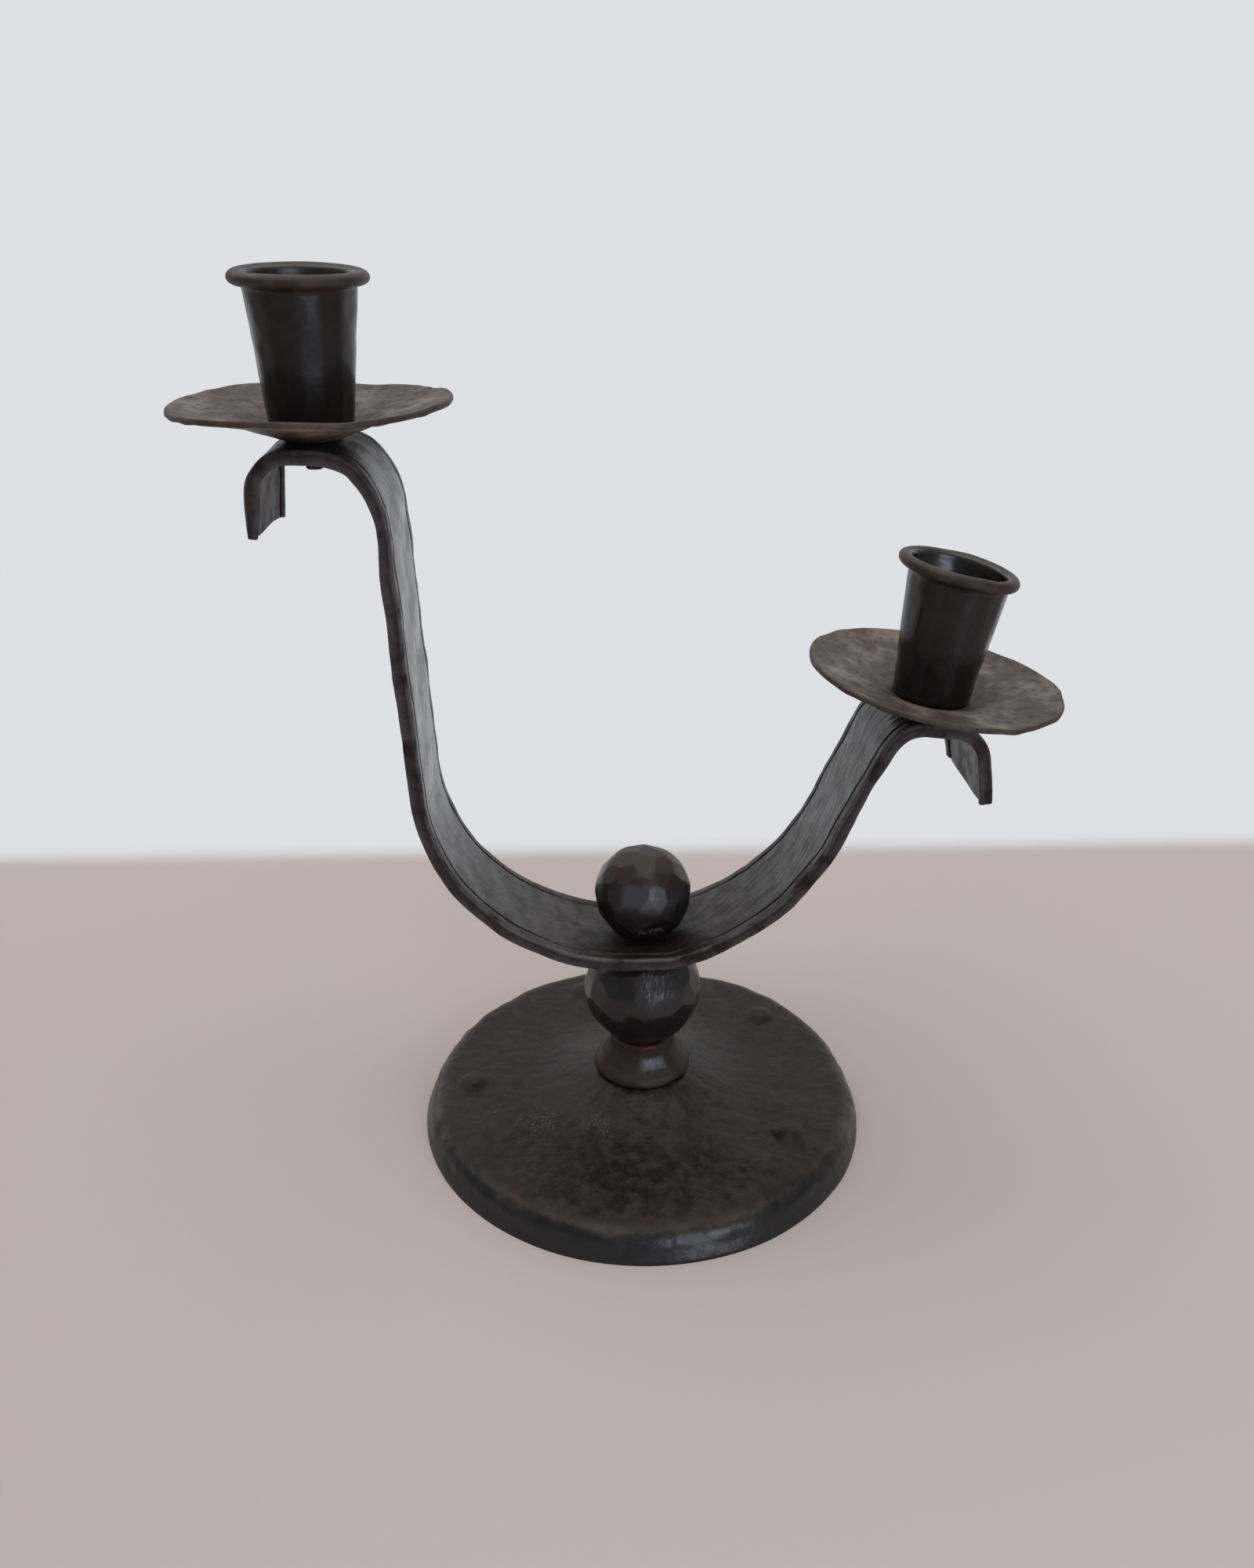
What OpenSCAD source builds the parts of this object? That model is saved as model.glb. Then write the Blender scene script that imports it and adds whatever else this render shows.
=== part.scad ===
// Double-arm candle holder of hammered, blackened iron.
// One flat strap is bent into two arms of unequal height and clamped between two balls on a sheet-iron foot.
// Each arm ends in a hook that carries a drip pan and a tapered candle socket on one rivet.
// Origin: centre of the foot on the table. +Z up, +X to the lower arm, -Y to the front.

/* [Foot] */
// Diameter of the foot at the table
foot_d = 140; // [132:1:170]
// Thickness of the foot's sheet iron
foot_sheet = 2; // [1.6:0.1:2.4]
// Height of the shoulder above the table
shoulder_h = 10.2; // [9.5:0.1:12]
// How far the skirt spreads from the shoulder to the table
skirt_spread = 3.4; // [2:0.1:5]
// Rounding of the shoulder
shoulder_round = 3.5; // [3:0.1:5]
// How far the deck dips from the shoulder to the cone
deck_dip = 1.2; // [0.6:0.1:1.8]
// Diameter at which the cone springs from the deck
cone_d = 64; // [60:1:70]
// Rounding between the cone and the deck
cone_round = 40; // [20:1:45]
// Height of the hub, the flat top of the cone, above the table
hub_h = 17.2; // [16.5:0.1:22]
// Diameter of the hub
hub_d = 31; // [28:1:36]
// Rounding of the hub's edge
hub_round = 3; // [2.6:0.1:5]

/* [Bosses] */
// Number of domed bosses round the deck
boss_count = 5; // [3:1:7]
// Diameter of a boss
boss_d = 10; // [7:0.5:13]
// Height of a boss above the deck
boss_h = 2; // [1.2:0.1:3]
// Distance from the shoulder in to the middle of a boss
boss_inset = 12.1; // [9:0.1:15]
// Angle of the first boss from the lower arm
boss_turn = 38; // [0:1:71]

/* [Stem] */
// Height of the collar bead
collar_h = 12.5; // [10:0.1:16]
// Diameter of the collar's lip
collar_lip_d = 32; // [28:0.1:36]
// Height of the collar's lip
collar_lip_h = 1.8; // [1.2:0.1:2.4]
// Diameter at which the collar's flank leaves its lip
collar_flank_d = 24.8; // [22:0.1:27]
// Height at which the flank leaves the lip
collar_flank_h = 3.8; // [3:0.1:5]
// Diameter of the collar's top
collar_top_d = 19.2; // [17:0.1:21]
// Diameter of the lower ball
lower_ball_d = 36.2; // [30:0.1:44]
// Diameter of the two flats that the lower ball is clamped on
lower_seat_d = 13.4; // [11:0.1:17]
// Diameter of the finial ball
finial_d = 29.2; // [24:0.1:36]
// Diameter of the flat under the finial ball
finial_seat_d = 10.4; // [9.6:0.1:14]
// Half the angle that one hammer mark spans on a ball
mark_angle = 15; // [8:0.5:16]
// Hammer marks on the lower ball
lower_marks = 26; // [12:1:28]
// Hammer marks on the finial ball
finial_marks = 28; // [12:1:30]

/* [Tie rod] */
// Diameter of the rod that clamps the stack
rod_d = 8; // [6:0.5:8.5]
// Length of the rod inside the finial ball
rod_in_finial = 17; // [10:0.5:20]
// Length of the rod past the nut
rod_past_nut = 1.6; // [0.5:0.1:3]
// Diameter of the washer inside the foot
washer_d = 20; // [17:0.5:24]
// Thickness of the washer
washer_t = 1.6; // [1:0.1:2]
// Width of the nut across its flats
nut_w = 13; // [12:0.5:15]
// Height of the nut
nut_h = 6.5; // [5:0.1:7]

/* [Strap] */
// Width of the strap
strap_w = 32.5; // [26:0.5:38]
// Thickness of the strap
strap_t = 3.1; // [2.4:0.1:4]
// Distance of the scored line from the strap's edge
score_inset = 3.4; // [2.4:0.1:6]
// Width of the scored line
score_w = 1.2; // [0.6:0.1:1.6]
// Depth of the scored line
score_depth = 0.5; // [0.2:0.1:0.7]
// Flat part of the strap on each side of the tie rod
seat_run = 5; // [4:0.1:8]
// Flat part of each hook under its pan
crest_run = 7; // [6:0.1:10]

/* [Left arm] */
// Radius of the sweep from the seat to the upright
left_sweep_r = 58.3; // [48:0.1:70]
// Angle of the sweep
left_sweep_a = 87.2; // [80:0.1:92]
// Length of the straight upright
left_rise = 75.1; // [50:0.1:100]
// Radius of the wide bend over the upright
left_shoulder_r = 24.1; // [16:0.1:34]
// Angle of the wide bend
left_shoulder_a = 36.4; // [20:0.1:50]
// Radius of the tight bend up to the crest
left_crest_r = 12.4; // [8:0.1:18]
// Radius of the bend down to the tail
left_curl_r = 9.3; // [7:0.1:14]
// Angle of the bend down to the tail
left_curl_a = 84.1; // [60:0.1:95]
// Length of the straight tail
left_tail = 13.2; // [6:0.1:20]
// Outward lean of the left pan and socket
left_lean = -0.5; // [-4:0.1:10]

/* [Right arm] */
// Radius of the bend beside the seat
right_kick_r = 15.1; // [10:0.1:30]
// Angle of the bend beside the seat
right_kick_a = 15.2; // [8:0.1:22]
// Radius of the sweep
right_sweep_r = 68.6; // [56:0.1:80]
// Angle of the sweep
right_sweep_a = 51.1; // [44:0.1:58]
// Length of the straight rise
right_rise = 29.8; // [15:0.1:50]
// Radius of the wide bend over the rise
right_shoulder_r = 14.4; // [10:0.1:20]
// Angle of the wide bend
right_shoulder_a = 40.7; // [25:0.1:50]
// Radius of the tight bend up to the crest
right_crest_r = 8; // [6:0.1:14]
// Radius of the bend down to the tail
right_curl_r = 11.1; // [8:0.1:16]
// Angle of the bend down to the tail
right_curl_a = 75.5; // [60:0.1:95]
// Length of the straight tail
right_tail = 11.5; // [6:0.1:20]
// Outward lean of the right pan and socket
right_lean = 7; // [-4:0.1:10]

/* [Drip pans] */
// Diameter of a drip pan
pan_d = 71; // [60:0.5:84]
// Thickness of a pan's sheet iron
pan_sheet = 1.2; // [0.8:0.1:1.6]
// Diameter of a pan's flat floor
pan_floor_d = 15; // [13:0.1:17]
// Rounding between the floor and the well
pan_floor_round = 6; // [3:0.5:8]
// Diameter at which the well turns into the brim
pan_well_d = 40; // [34:0.5:50]
// Height of the well
pan_well_h = 5; // [4:0.1:6]
// Rounding between the well and the brim
pan_brim_round = 20; // [6:0.5:24]
// Height of a pan's edge above its floor
pan_rise = 8; // [7:0.1:10]

/* [Candle sockets] */
// Height of a socket from its floor to the middle of its rim
socket_h = 36.6; // [28:0.1:46]
// Diameter of a socket at the bottom
socket_foot_d = 21.6; // [20:0.1:24]
// Diameter of a socket under its rim
socket_mouth_d = 28.6; // [26:0.1:32]
// Thickness of a socket's wall and floor
socket_wall = 1.2; // [0.8:0.1:1.6]
// Rounding of a socket's bottom edge
socket_round = 2; // [1.8:0.1:3]
// Thickness of the rolled rim
rim_bead_d = 4.3; // [3.6:0.1:5.6]
// How far the middle of the rolled rim lies outside the wall
rim_offset = 0.35; // [0:0.05:0.6]

/* [Rivets] */
// Diameter of a rivet's shank
rivet_d = 4.5; // [3.5:0.1:5]
// Diameter of the head inside a socket
rivet_head_d = 9; // [7:0.1:11]
// Height of the head
rivet_head_h = 1.8; // [1:0.1:3]
// Diameter of the peened tail against the strap
rivet_tail_d = 7; // [6:0.1:8]
// Diameter of the peened tail at its end
rivet_tip_d = 4.4; // [3:0.1:5.5]
// Height of the peened tail
rivet_tail_h = 4.2; // [2:0.1:5]

/* [Fits] */
// Gap round the tie rod and the rivets and under the sockets
fit_gap = 0.05; // [0.02:0.01:0.1]
// Room over the tie rod's end inside the finial ball
rod_end_room = 0.6; // [0.2:0.1:0.9]

/* [Hidden] */
$fn = 96;
// Largest turn between two points of a rounded corner, in degrees
corner_step = 12;
// Farthest that a chord of the strap's outline lies from its bend
bend_error = 0.08;
// Angle between one hammer mark and the next, which spreads them evenly over a ball
golden_turn = 180 * (3 - sqrt(5));

rod_hole_r = rod_d / 2 + fit_gap;
rivet_hole_r = rivet_d / 2 + fit_gap;

shoulder_r = foot_d / 2 - skirt_spread;
cone_z = shoulder_h - deck_dip;
boss_ring_r = shoulder_r - boss_inset;
boss_z = shoulder_h - deck_dip * boss_inset / (shoulder_r - cone_d / 2);
boss_ball_r = (boss_d * boss_d / 4 + boss_h * boss_h) / (2 * boss_h);

lower_seat_h = sqrt(lower_ball_d * lower_ball_d - lower_seat_d * lower_seat_d) / 2;
finial_seat_h = sqrt(finial_d * finial_d - finial_seat_d * finial_seat_d) / 2;
collar_z = hub_h;
lower_ball_z = collar_z + collar_h + lower_seat_h;
strap_z = lower_ball_z + lower_seat_h + strap_t / 2;
finial_z = strap_z + strap_t / 2 + finial_seat_h;

washer_z = hub_h - foot_sheet - washer_t;
nut_z = washer_z - nut_h;
rod_bottom = nut_z - rod_past_nut;
rod_top = finial_z - finial_seat_h + rod_in_finial;

pan_z = strap_t / 2;
pan_slope = atan(2 * pan_well_h / (pan_well_d - pan_floor_d));

// A socket's rounded bottom edge rests on the slope of the pan's well.
socket_lean = atan((socket_mouth_d - socket_foot_d) / 2 / socket_h);
socket_edge_r = socket_foot_d / 2 - socket_round * tan((90 - socket_lean) / 2);
socket_lift = (socket_edge_r - pan_floor_d / 2) * tan(pan_slope) + (pan_sheet + socket_round) / cos(pan_slope);
socket_z = pan_z + socket_lift - socket_round + fit_gap;
rivet_head_z = socket_z + socket_wall;

// Each step of an arm is a straight length, then a bend of one radius and angle. Bends to the upper face count
// as positive.
left_run = [
    [seat_run, left_sweep_r, left_sweep_a],
    [left_rise, left_shoulder_r, -left_shoulder_a],
    [0, left_crest_r, left_shoulder_a - left_sweep_a - left_lean],
    [crest_run, left_curl_r, -left_curl_a],
    [left_tail, 0, 0]
];
right_run = [
    [seat_run, right_kick_r, right_kick_a],
    [0, right_sweep_r, right_sweep_a],
    [right_rise, right_shoulder_r, -right_shoulder_a],
    [0, right_crest_r, right_shoulder_a - right_sweep_a - right_kick_a - right_lean],
    [crest_run, right_curl_r, -right_curl_a],
    [right_tail, 0, 0]
];
arm_start = [0, strap_z, 0];

iron = [0.16, 0.15, 0.15];
strap_iron = [0.28, 0.27, 0.27];
sheet_iron = [0.22, 0.19, 0.17];
steel = [0.55, 0.55, 0.56];

// Outlines are lists of [radius, height, corner rounding].
function unit(v) = v / norm(v);
function left_of(v) = [-v.y, v.x];
function flat(p) = [p.x, p.y];
function turn(from, to) = (to - from + 540) % 360 - 180;
function round_corner(a, b, c, r) =
    let (
        u = unit(a - b),
        v = unit(c - b),
        half = acos(u * v) / 2,
        middle = b + unit(u + v) * r / sin(half),
        first = b + u * r / tan(half) - middle,
        last = b + v * r / tan(half) - middle,
        start = atan2(first.y, first.x),
        sweep = turn(start, atan2(last.y, last.x)),
        steps = max(2, ceil(abs(sweep) / corner_step))
    )
    [for (k = [0:steps]) middle + r * [cos(start + sweep * k / steps), sin(start + sweep * k / steps)]];
function rounded(path) =
    let (n = len(path), points = [for (p = path) flat(p)])
    [for (i = [0:n - 1]) each
        path[i][2] == 0
            ? [points[i]]
            : round_corner(points[(i + n - 1) % n], points[i], points[(i + 1) % n], path[i][2])];

// The path moved sideways by d, to its left where d is positive.
function side_step(a, b, c) =
    let (m = left_of(unit(b - a)), n = left_of(unit(c - b)))
    (m + n) / (1 + m * n);
function beside(path, d) =
    let (last = len(path) - 1)
    [for (i = [0:last])
        path[i] + d * (
            i == 0 ? left_of(unit(path[1] - path[0])) :
            i == last ? left_of(unit(path[last] - path[last - 1])) :
            side_step(path[i - 1], path[i], path[i + 1]))];
function backwards(path) = [for (i = [len(path) - 1:-1:0]) path[i]];

// Position and heading, as [x, z, angle], after the first n steps of an arm.
function bend_end(p, r, a) =
    let (s = sign(a))
    [
        p[0] + s * r * (sin(p[2] + a) - sin(p[2])),
        p[1] + s * r * (cos(p[2]) - cos(p[2] + a)),
        p[2] + a
    ];
function ahead(p, l) = [p[0] + l * cos(p[2]), p[1] + l * sin(p[2]), p[2]];
function arm_at(run, n) =
    n == 0 ? arm_start : bend_end(ahead(arm_at(run, n - 1), run[n - 1][0]), run[n - 1][1], run[n - 1][2]);

// Solid of revolution.
module turned(path) {
    rotate_extrude() polygon(rounded(path));
}

// Sheet of one thickness, spun from the path to its left.
module spun(path, thickness) {
    curve = rounded(path);
    rotate_extrude() polygon(concat(curve, backwards(beside(curve, thickness))));
}

module foot_sheet_metal() {
    over = 2 * foot_sheet;
    spun([
        [rod_hole_r, hub_h, 0],
        [hub_d / 2, hub_h, hub_round],
        [cone_d / 2, cone_z, cone_round],
        [shoulder_r, shoulder_h, shoulder_round],
        [foot_d / 2 + over * skirt_spread / shoulder_h, -over, 0]
    ], -foot_sheet);
}

module at_bosses() {
    for (k = [0:boss_count - 1])
        rotate([0, 0, boss_turn + 360 * k / boss_count])
            translate([boss_ring_r, 0, boss_z])
                children();
}

module boss_dome() {
    intersection() {
        translate([0, 0, boss_h - boss_ball_r]) sphere(r = boss_ball_r);
        translate([0, 0, -foot_sheet / 2]) cylinder(d = boss_d + foot_sheet / 2, h = foot_sheet + boss_h);
    }
}

module foot_plate() {
    color(sheet_iron)
        difference() {
            union() {
                foot_sheet_metal();
                at_bosses() boss_dome();
            }
            at_bosses() translate([0, 0, boss_h - boss_ball_r]) sphere(r = boss_ball_r - foot_sheet);
            translate([0, 0, -foot_d]) cylinder(d = 2 * foot_d, h = foot_d);
        }
}

module collar_bead() {
    lip_r = collar_lip_d / 2;
    lip_bevel = collar_lip_h / 2;
    lip_round = collar_lip_h / 3;
    color(iron)
        translate([0, 0, collar_z])
            turned([
                [rod_hole_r, 0, 0],
                [lip_r - lip_bevel, 0, lip_round],
                [lip_r, collar_lip_h / 2, lip_round],
                [lip_r - lip_bevel, collar_lip_h, lip_round],
                [collar_flank_d / 2, collar_flank_h, collar_flank_h / 2],
                [collar_top_d / 2, collar_h, lip_round],
                [rod_hole_r, collar_h, 0]
            ]);
}

// Hammer marks on a ball, on a spiral between two heights given as shares of its radius.
module ball_marks(ball_d, marks, low, high) {
    for (k = [0:marks - 1])
        rotate([0, acos(low + (high - low) * (k + 0.5) / marks), k * golden_turn])
            translate([0, 0, ball_d / 2 * cos(mark_angle)])
                cylinder(d = ball_d, h = ball_d);
}

// Share of a ball's radius that its marks stay within, so that none cuts into a seat.
function marks_end(ball_d, seat_d) = cos(asin(seat_d / ball_d) + mark_angle);

module lower_ball() {
    marks_to = marks_end(lower_ball_d, lower_seat_d);
    color(iron)
        translate([0, 0, lower_ball_z])
            difference() {
                sphere(d = lower_ball_d);
                ball_marks(lower_ball_d, lower_marks, -marks_to, marks_to);
                translate([0, 0, lower_seat_h]) cylinder(d = lower_ball_d, h = lower_ball_d);
                translate([0, 0, -lower_seat_h - lower_ball_d]) cylinder(d = lower_ball_d, h = lower_ball_d);
                cylinder(r = rod_hole_r, h = 2 * lower_ball_d, center = true);
            }
}

module finial_ball() {
    marks_from = marks_end(finial_d, finial_seat_d);
    color(iron)
        translate([0, 0, finial_z])
            difference() {
                sphere(d = finial_d);
                ball_marks(finial_d, finial_marks, -marks_from, 1);
                translate([0, 0, -finial_seat_h - finial_d]) cylinder(d = finial_d, h = finial_d);
                translate([0, 0, -finial_seat_h - finial_d])
                    cylinder(r = rod_hole_r, h = finial_d + rod_in_finial + rod_end_room);
            }
}

module tie_rod() {
    color(steel)
        translate([0, 0, rod_bottom])
            cylinder(d = rod_d, h = rod_top - rod_bottom);
}

module clamp_washer() {
    color(steel)
        translate([0, 0, washer_z])
            difference() {
                cylinder(d = washer_d, h = washer_t);
                cylinder(r = rod_hole_r, h = 3 * washer_t, center = true);
            }
}

module clamp_nut() {
    color(steel)
        translate([0, 0, nut_z])
            difference() {
                cylinder(d = nut_w / cos(30), h = nut_h, $fn = 6);
                cylinder(r = rod_hole_r, h = 3 * nut_h, center = true);
            }
}

// Points along the middle of an arm after its step n, which starts at p.
function arm_points(run, n, p) =
    n == len(run) ? [] :
    let (
        q = ahead(p, run[n][0]),
        r = run[n][1],
        a = run[n][2],
        steps = a == 0 ? 0 : ceil(abs(a) / (2 * acos(1 - bend_error / r))),
        bend = [for (k = [1:1:steps]) bend_end(q, r, a * k / steps)]
    )
    concat(run[n][0] > 0 ? [q] : [], bend, arm_points(run, n + 1, bend_end(q, r, a)));

// One side of the strap seen from the front, from the left tail to the right one, d above its middle.
function above(p, d) = [p[0] - d * sin(p[2]), p[1] + d * cos(p[2])];
function strap_side(d) =
    concat(
        [for (p = backwards(arm_points(left_run, 0, arm_start))) [-above(p, d).x, above(p, d).y]],
        [[0, strap_z + d]],
        [for (p = arm_points(right_run, 0, arm_start)) above(p, d)]
    );

// Lengthwise band of the strap between two distances from its middle line.
module strap_band(from, to, thickness) {
    translate([0, to, 0])
        rotate([90, 0, 0])
            linear_extrude(to - from)
                polygon(concat(strap_side(thickness / 2), backwards(strap_side(-thickness / 2))));
}

// The strap's bands: two edges and the middle at full thickness, with a scored line between each pair.
module strap_blank() {
    edge = strap_w / 2;
    line_out = edge - score_inset + score_w / 2;
    line_in = line_out - score_w;
    strap_band(-line_in, line_in, strap_t);
    for (side = [-1, 1]) {
        strap_band(min(side * line_out, side * edge), max(side * line_out, side * edge), strap_t);
        strap_band(
            min(side * line_in, side * line_out), max(side * line_in, side * line_out), strap_t - 2 * score_depth);
    }
}

// Puts its children on an arm's crest, the flat before its last bend, standing on the middle of the strap.
module on_crest(run) {
    crest = ahead(arm_at(run, len(run) - 2), crest_run / 2);
    translate([crest[0], 0, crest[1]]) rotate([0, -crest[2], 0]) children();
}

module on_left_crest() {
    mirror([1, 0, 0]) on_crest(left_run) children();
}

module on_right_crest() {
    on_crest(right_run) children();
}

module rivet_hole() {
    cylinder(r = rivet_hole_r, h = 3 * strap_t, center = true);
}

module arm_strap() {
    color(strap_iron)
        difference() {
            strap_blank();
            translate([0, 0, strap_z]) cylinder(r = rod_hole_r, h = 3 * strap_t, center = true);
            on_left_crest() rivet_hole();
            on_right_crest() rivet_hole();
        }
}

module drip_pan() {
    color(sheet_iron)
        translate([0, 0, pan_z])
            spun([
                [rivet_hole_r, 0, 0],
                [pan_floor_d / 2, 0, pan_floor_round],
                [pan_well_d / 2, pan_well_h, pan_brim_round],
                [pan_d / 2, pan_rise, 0]
            ], pan_sheet);
}

module candle_socket() {
    color(iron)
        translate([0, 0, socket_z]) {
            spun([
                [rivet_hole_r, 0, 0],
                [socket_foot_d / 2, 0, socket_round],
                [socket_mouth_d / 2, socket_h, 0]
            ], socket_wall);
            rotate_extrude() translate([socket_mouth_d / 2 + rim_offset, socket_h]) circle(d = rim_bead_d);
        }
}

module rivet() {
    color(iron) {
        translate([0, 0, -strap_t / 2 - rivet_tail_h]) cylinder(d1 = rivet_tip_d, d2 = rivet_tail_d, h = rivet_tail_h);
        translate([0, 0, -strap_t / 2]) cylinder(d = rivet_d, h = rivet_head_z + strap_t / 2);
        translate([0, 0, rivet_head_z])
            turned([
                [0, 0, 0],
                [rivet_head_d / 2, 0, 0],
                [rivet_head_d / 2, rivet_head_h, rivet_head_h * 0.9],
                [0, rivet_head_h, 0]
            ]);
    }
}

module left_drip_pan() {
    on_left_crest() drip_pan();
}

module right_drip_pan() {
    on_right_crest() drip_pan();
}

module left_candle_socket() {
    on_left_crest() candle_socket();
}

module right_candle_socket() {
    on_right_crest() candle_socket();
}

module left_rivet() {
    on_left_crest() rivet();
}

module right_rivet() {
    on_right_crest() rivet();
}

foot_plate();
collar_bead();
lower_ball();
arm_strap();
finial_ball();
tie_rod();
clamp_washer();
clamp_nut();
left_drip_pan();
right_drip_pan();
left_candle_socket();
right_candle_socket();
left_rivet();
right_rivet();
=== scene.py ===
"""Looks of a double-arm candle holder in hammered, blackened iron.

Every piece that shows is modelled again with the marks of the hammer: the spun foot, the bell-shaped collar,
the faceted balls, the bent strap with its scored borders, the drip pans, the sockets and their rivets.
Sizes are in millimetres and angles in degrees. Meshes are written in metres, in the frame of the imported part.
"""

import logging
import math
from dataclasses import dataclass, field
from enum import Enum
from typing import NamedTuple, Sequence

import bmesh
import bpy
import numpy as np
from mathutils import Matrix, Vector


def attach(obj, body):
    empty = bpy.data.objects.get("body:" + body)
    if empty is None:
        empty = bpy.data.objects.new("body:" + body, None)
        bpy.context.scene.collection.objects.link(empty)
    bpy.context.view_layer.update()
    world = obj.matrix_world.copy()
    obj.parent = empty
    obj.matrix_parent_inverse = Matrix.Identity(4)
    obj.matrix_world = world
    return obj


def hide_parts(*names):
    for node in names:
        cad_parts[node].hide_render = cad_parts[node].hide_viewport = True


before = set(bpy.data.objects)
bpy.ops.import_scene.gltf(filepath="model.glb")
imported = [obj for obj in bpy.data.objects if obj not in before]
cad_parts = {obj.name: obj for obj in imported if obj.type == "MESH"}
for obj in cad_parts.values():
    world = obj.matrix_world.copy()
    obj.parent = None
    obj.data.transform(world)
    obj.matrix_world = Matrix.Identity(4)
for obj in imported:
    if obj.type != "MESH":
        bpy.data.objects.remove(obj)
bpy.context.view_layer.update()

MM = 0.001
TURN = 2 * math.pi
HERE = Matrix.Identity(4)
LEVEL = (1, 1, 0)
HOLE_SIDES = 40

Array = np.ndarray
Material = bpy.types.Material
Mesh = bpy.types.Mesh
Node = bpy.types.Node
Piece = bpy.types.Object
Socket = bpy.types.NodeSocket
Span = tuple[float, float]
Tree = bpy.types.NodeTree

log = logging.getLogger("candle_holder")


class Body(Enum):
    """The two bodies that the swivel joins."""

    STAND = "stand"
    ARMS = "arms"


class Slot(Enum):
    """Material slots of the record."""

    SHEET = "sheet_iron"
    BALL = "ball_iron"
    STRAP = "strap_iron"
    PAN = "pan_iron"
    SOCKET = "socket_iron"
    STEEL = "plain_steel"


class Mask(Enum):
    """Vertex masks that the finishes read."""

    # On the strap's corners it also carries a painted highlight.
    WEAR = "wear"
    # On the strap it also carries painted shade.
    EDGE = "edge"
    # Scored lines on the strap, and painted shade under the balls.
    SCORE_AND_SHADE = "score"
    # On the collar's front flat its scratches also stand in for a painted highlight.
    SCUFF = "scuff"
    RUST = "rust"


class Coat(NamedTuple):
    """A colour that a finish lays on, and the share of it that shows where its mask is full."""

    colour: str
    share: float


class Cloud(NamedTuple):
    """Soft patches: their distance, the noise at which one begins and is full, and octaves of finer noise."""

    size: float
    low: float
    high: float
    detail: float = 3.0


def linear(colour: str) -> tuple[float, float, float, float]:
    """Turns an sRGB hex colour into a linear one.

    Args:
        colour: six hex digits after a hash.

    Returns:
        Linear red, green and blue, and an alpha of 1.
    """
    shares = [int(colour[k : k + 2], 16) / 255 for k in (1, 3, 5)]
    red, green, blue = (s / 12.92 if s <= 0.04045 else ((s + 0.055) / 1.055) ** 2.4 for s in shares)
    return red, green, blue, 1.0


def add(tree: Tree, kind: str, inputs: dict | None = None, **settings: object) -> Node:
    """Adds a node with its settings, input values and links.

    Args:
        tree: node tree that gets the node.
        kind: Blender's name of the node's class.
        inputs: by socket name or number, a value or another node's output.
        settings: properties of the node.

    Returns:
        The new node.
    """
    node = tree.nodes.new(kind)
    for name, value in settings.items():
        setattr(node, name, value)
    for key, value in (inputs or {}).items():
        if isinstance(value, Socket):
            tree.links.new(value, node.inputs[key])
        else:
            node.inputs[key].default_value = value
    return node


def product(tree: Tree, *factors: Socket | float) -> Socket:
    """Multiplies masks and numbers.

    Args:
        tree: node tree that gets the nodes.
        factors: two or more masks or numbers.

    Returns:
        Their product.
    """
    result = factors[0]
    for factor in factors[1:]:
        result = add(tree, "ShaderNodeMath", {0: result, 1: factor}, operation="MULTIPLY").outputs[0]
    return result


def blended(tree: Tree, mask: Socket, low: float, high: float) -> Socket:
    """Spreads a mask from 0 to 1 over another pair of values, as for roughness."""
    return add(tree, "ShaderNodeMapRange", {"Value": mask, "To Min": low, "To Max": high}).outputs["Result"]


def layered(tree: Tree, ground: str, coats: Sequence[tuple[Socket, Coat]]) -> Socket:
    """Paints coats over each other.

    Args:
        tree: node tree that gets the nodes.
        ground: hex colour under all coats.
        coats: pairs of a mask and the coat that it lays on.

    Returns:
        The final colour.
    """
    colour: object = linear(ground)
    for mask, coat in coats:
        inputs = {0: product(tree, mask, coat.share), 6: colour, 7: linear(coat.colour)}
        colour = add(tree, "ShaderNodeMix", inputs, data_type="RGBA").outputs[2]
    return colour


def patches(tree: Tree, where: Socket, cloud: Cloud, unit_size: float = MM) -> Socket:
    """Makes a mask of soft patches.

    Args:
        tree: node tree that gets the nodes.
        where: position of each point.
        cloud: the patches.
        unit_size: how the position measures one unit of the patches' size.

    Returns:
        Mask from 0 to 1.
    """
    inputs = {"Vector": where, "Scale": 1 / (cloud.size * unit_size), "Detail": cloud.detail}
    noise = add(tree, "ShaderNodeTexNoise", inputs).outputs["Fac"]
    span = {"Value": noise, "From Min": cloud.low, "From Max": cloud.high}
    return add(tree, "ShaderNodeMapRange", span).outputs["Result"]


def rays(tree: Tree, where: Socket, angle: float, length: float, cloud: Cloud) -> Socket:
    """Makes a mask of streaks that run out from the piece's own Z axis.

    Args:
        tree: node tree that gets the nodes.
        where: position in metres.
        angle: angle from one streak to the next.
        length: distance over which a streak fades into another.
        cloud: the streaks as patches of size 1.

    Returns:
        Mask from 0 to 1.
    """
    flat = add(tree, "ShaderNodeVectorMath", {0: where, 1: LEVEL}, operation="MULTIPLY")
    aim = add(tree, "ShaderNodeVectorMath", {0: flat.outputs[0]}, operation="NORMALIZE")
    turn = 1 / math.radians(angle)
    spread = add(tree, "ShaderNodeVectorMath", {0: aim.outputs[0], 1: (turn, turn, 0)}, operation="MULTIPLY")
    along = add(tree, "ShaderNodeVectorMath", {0: where, "Scale": 1 / (length * MM)}, operation="SCALE")
    place = add(tree, "ShaderNodeVectorMath", {0: spread.outputs[0], 1: along.outputs[0]}, operation="ADD")
    return patches(tree, place.outputs[0], cloud, 1.0)


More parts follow.
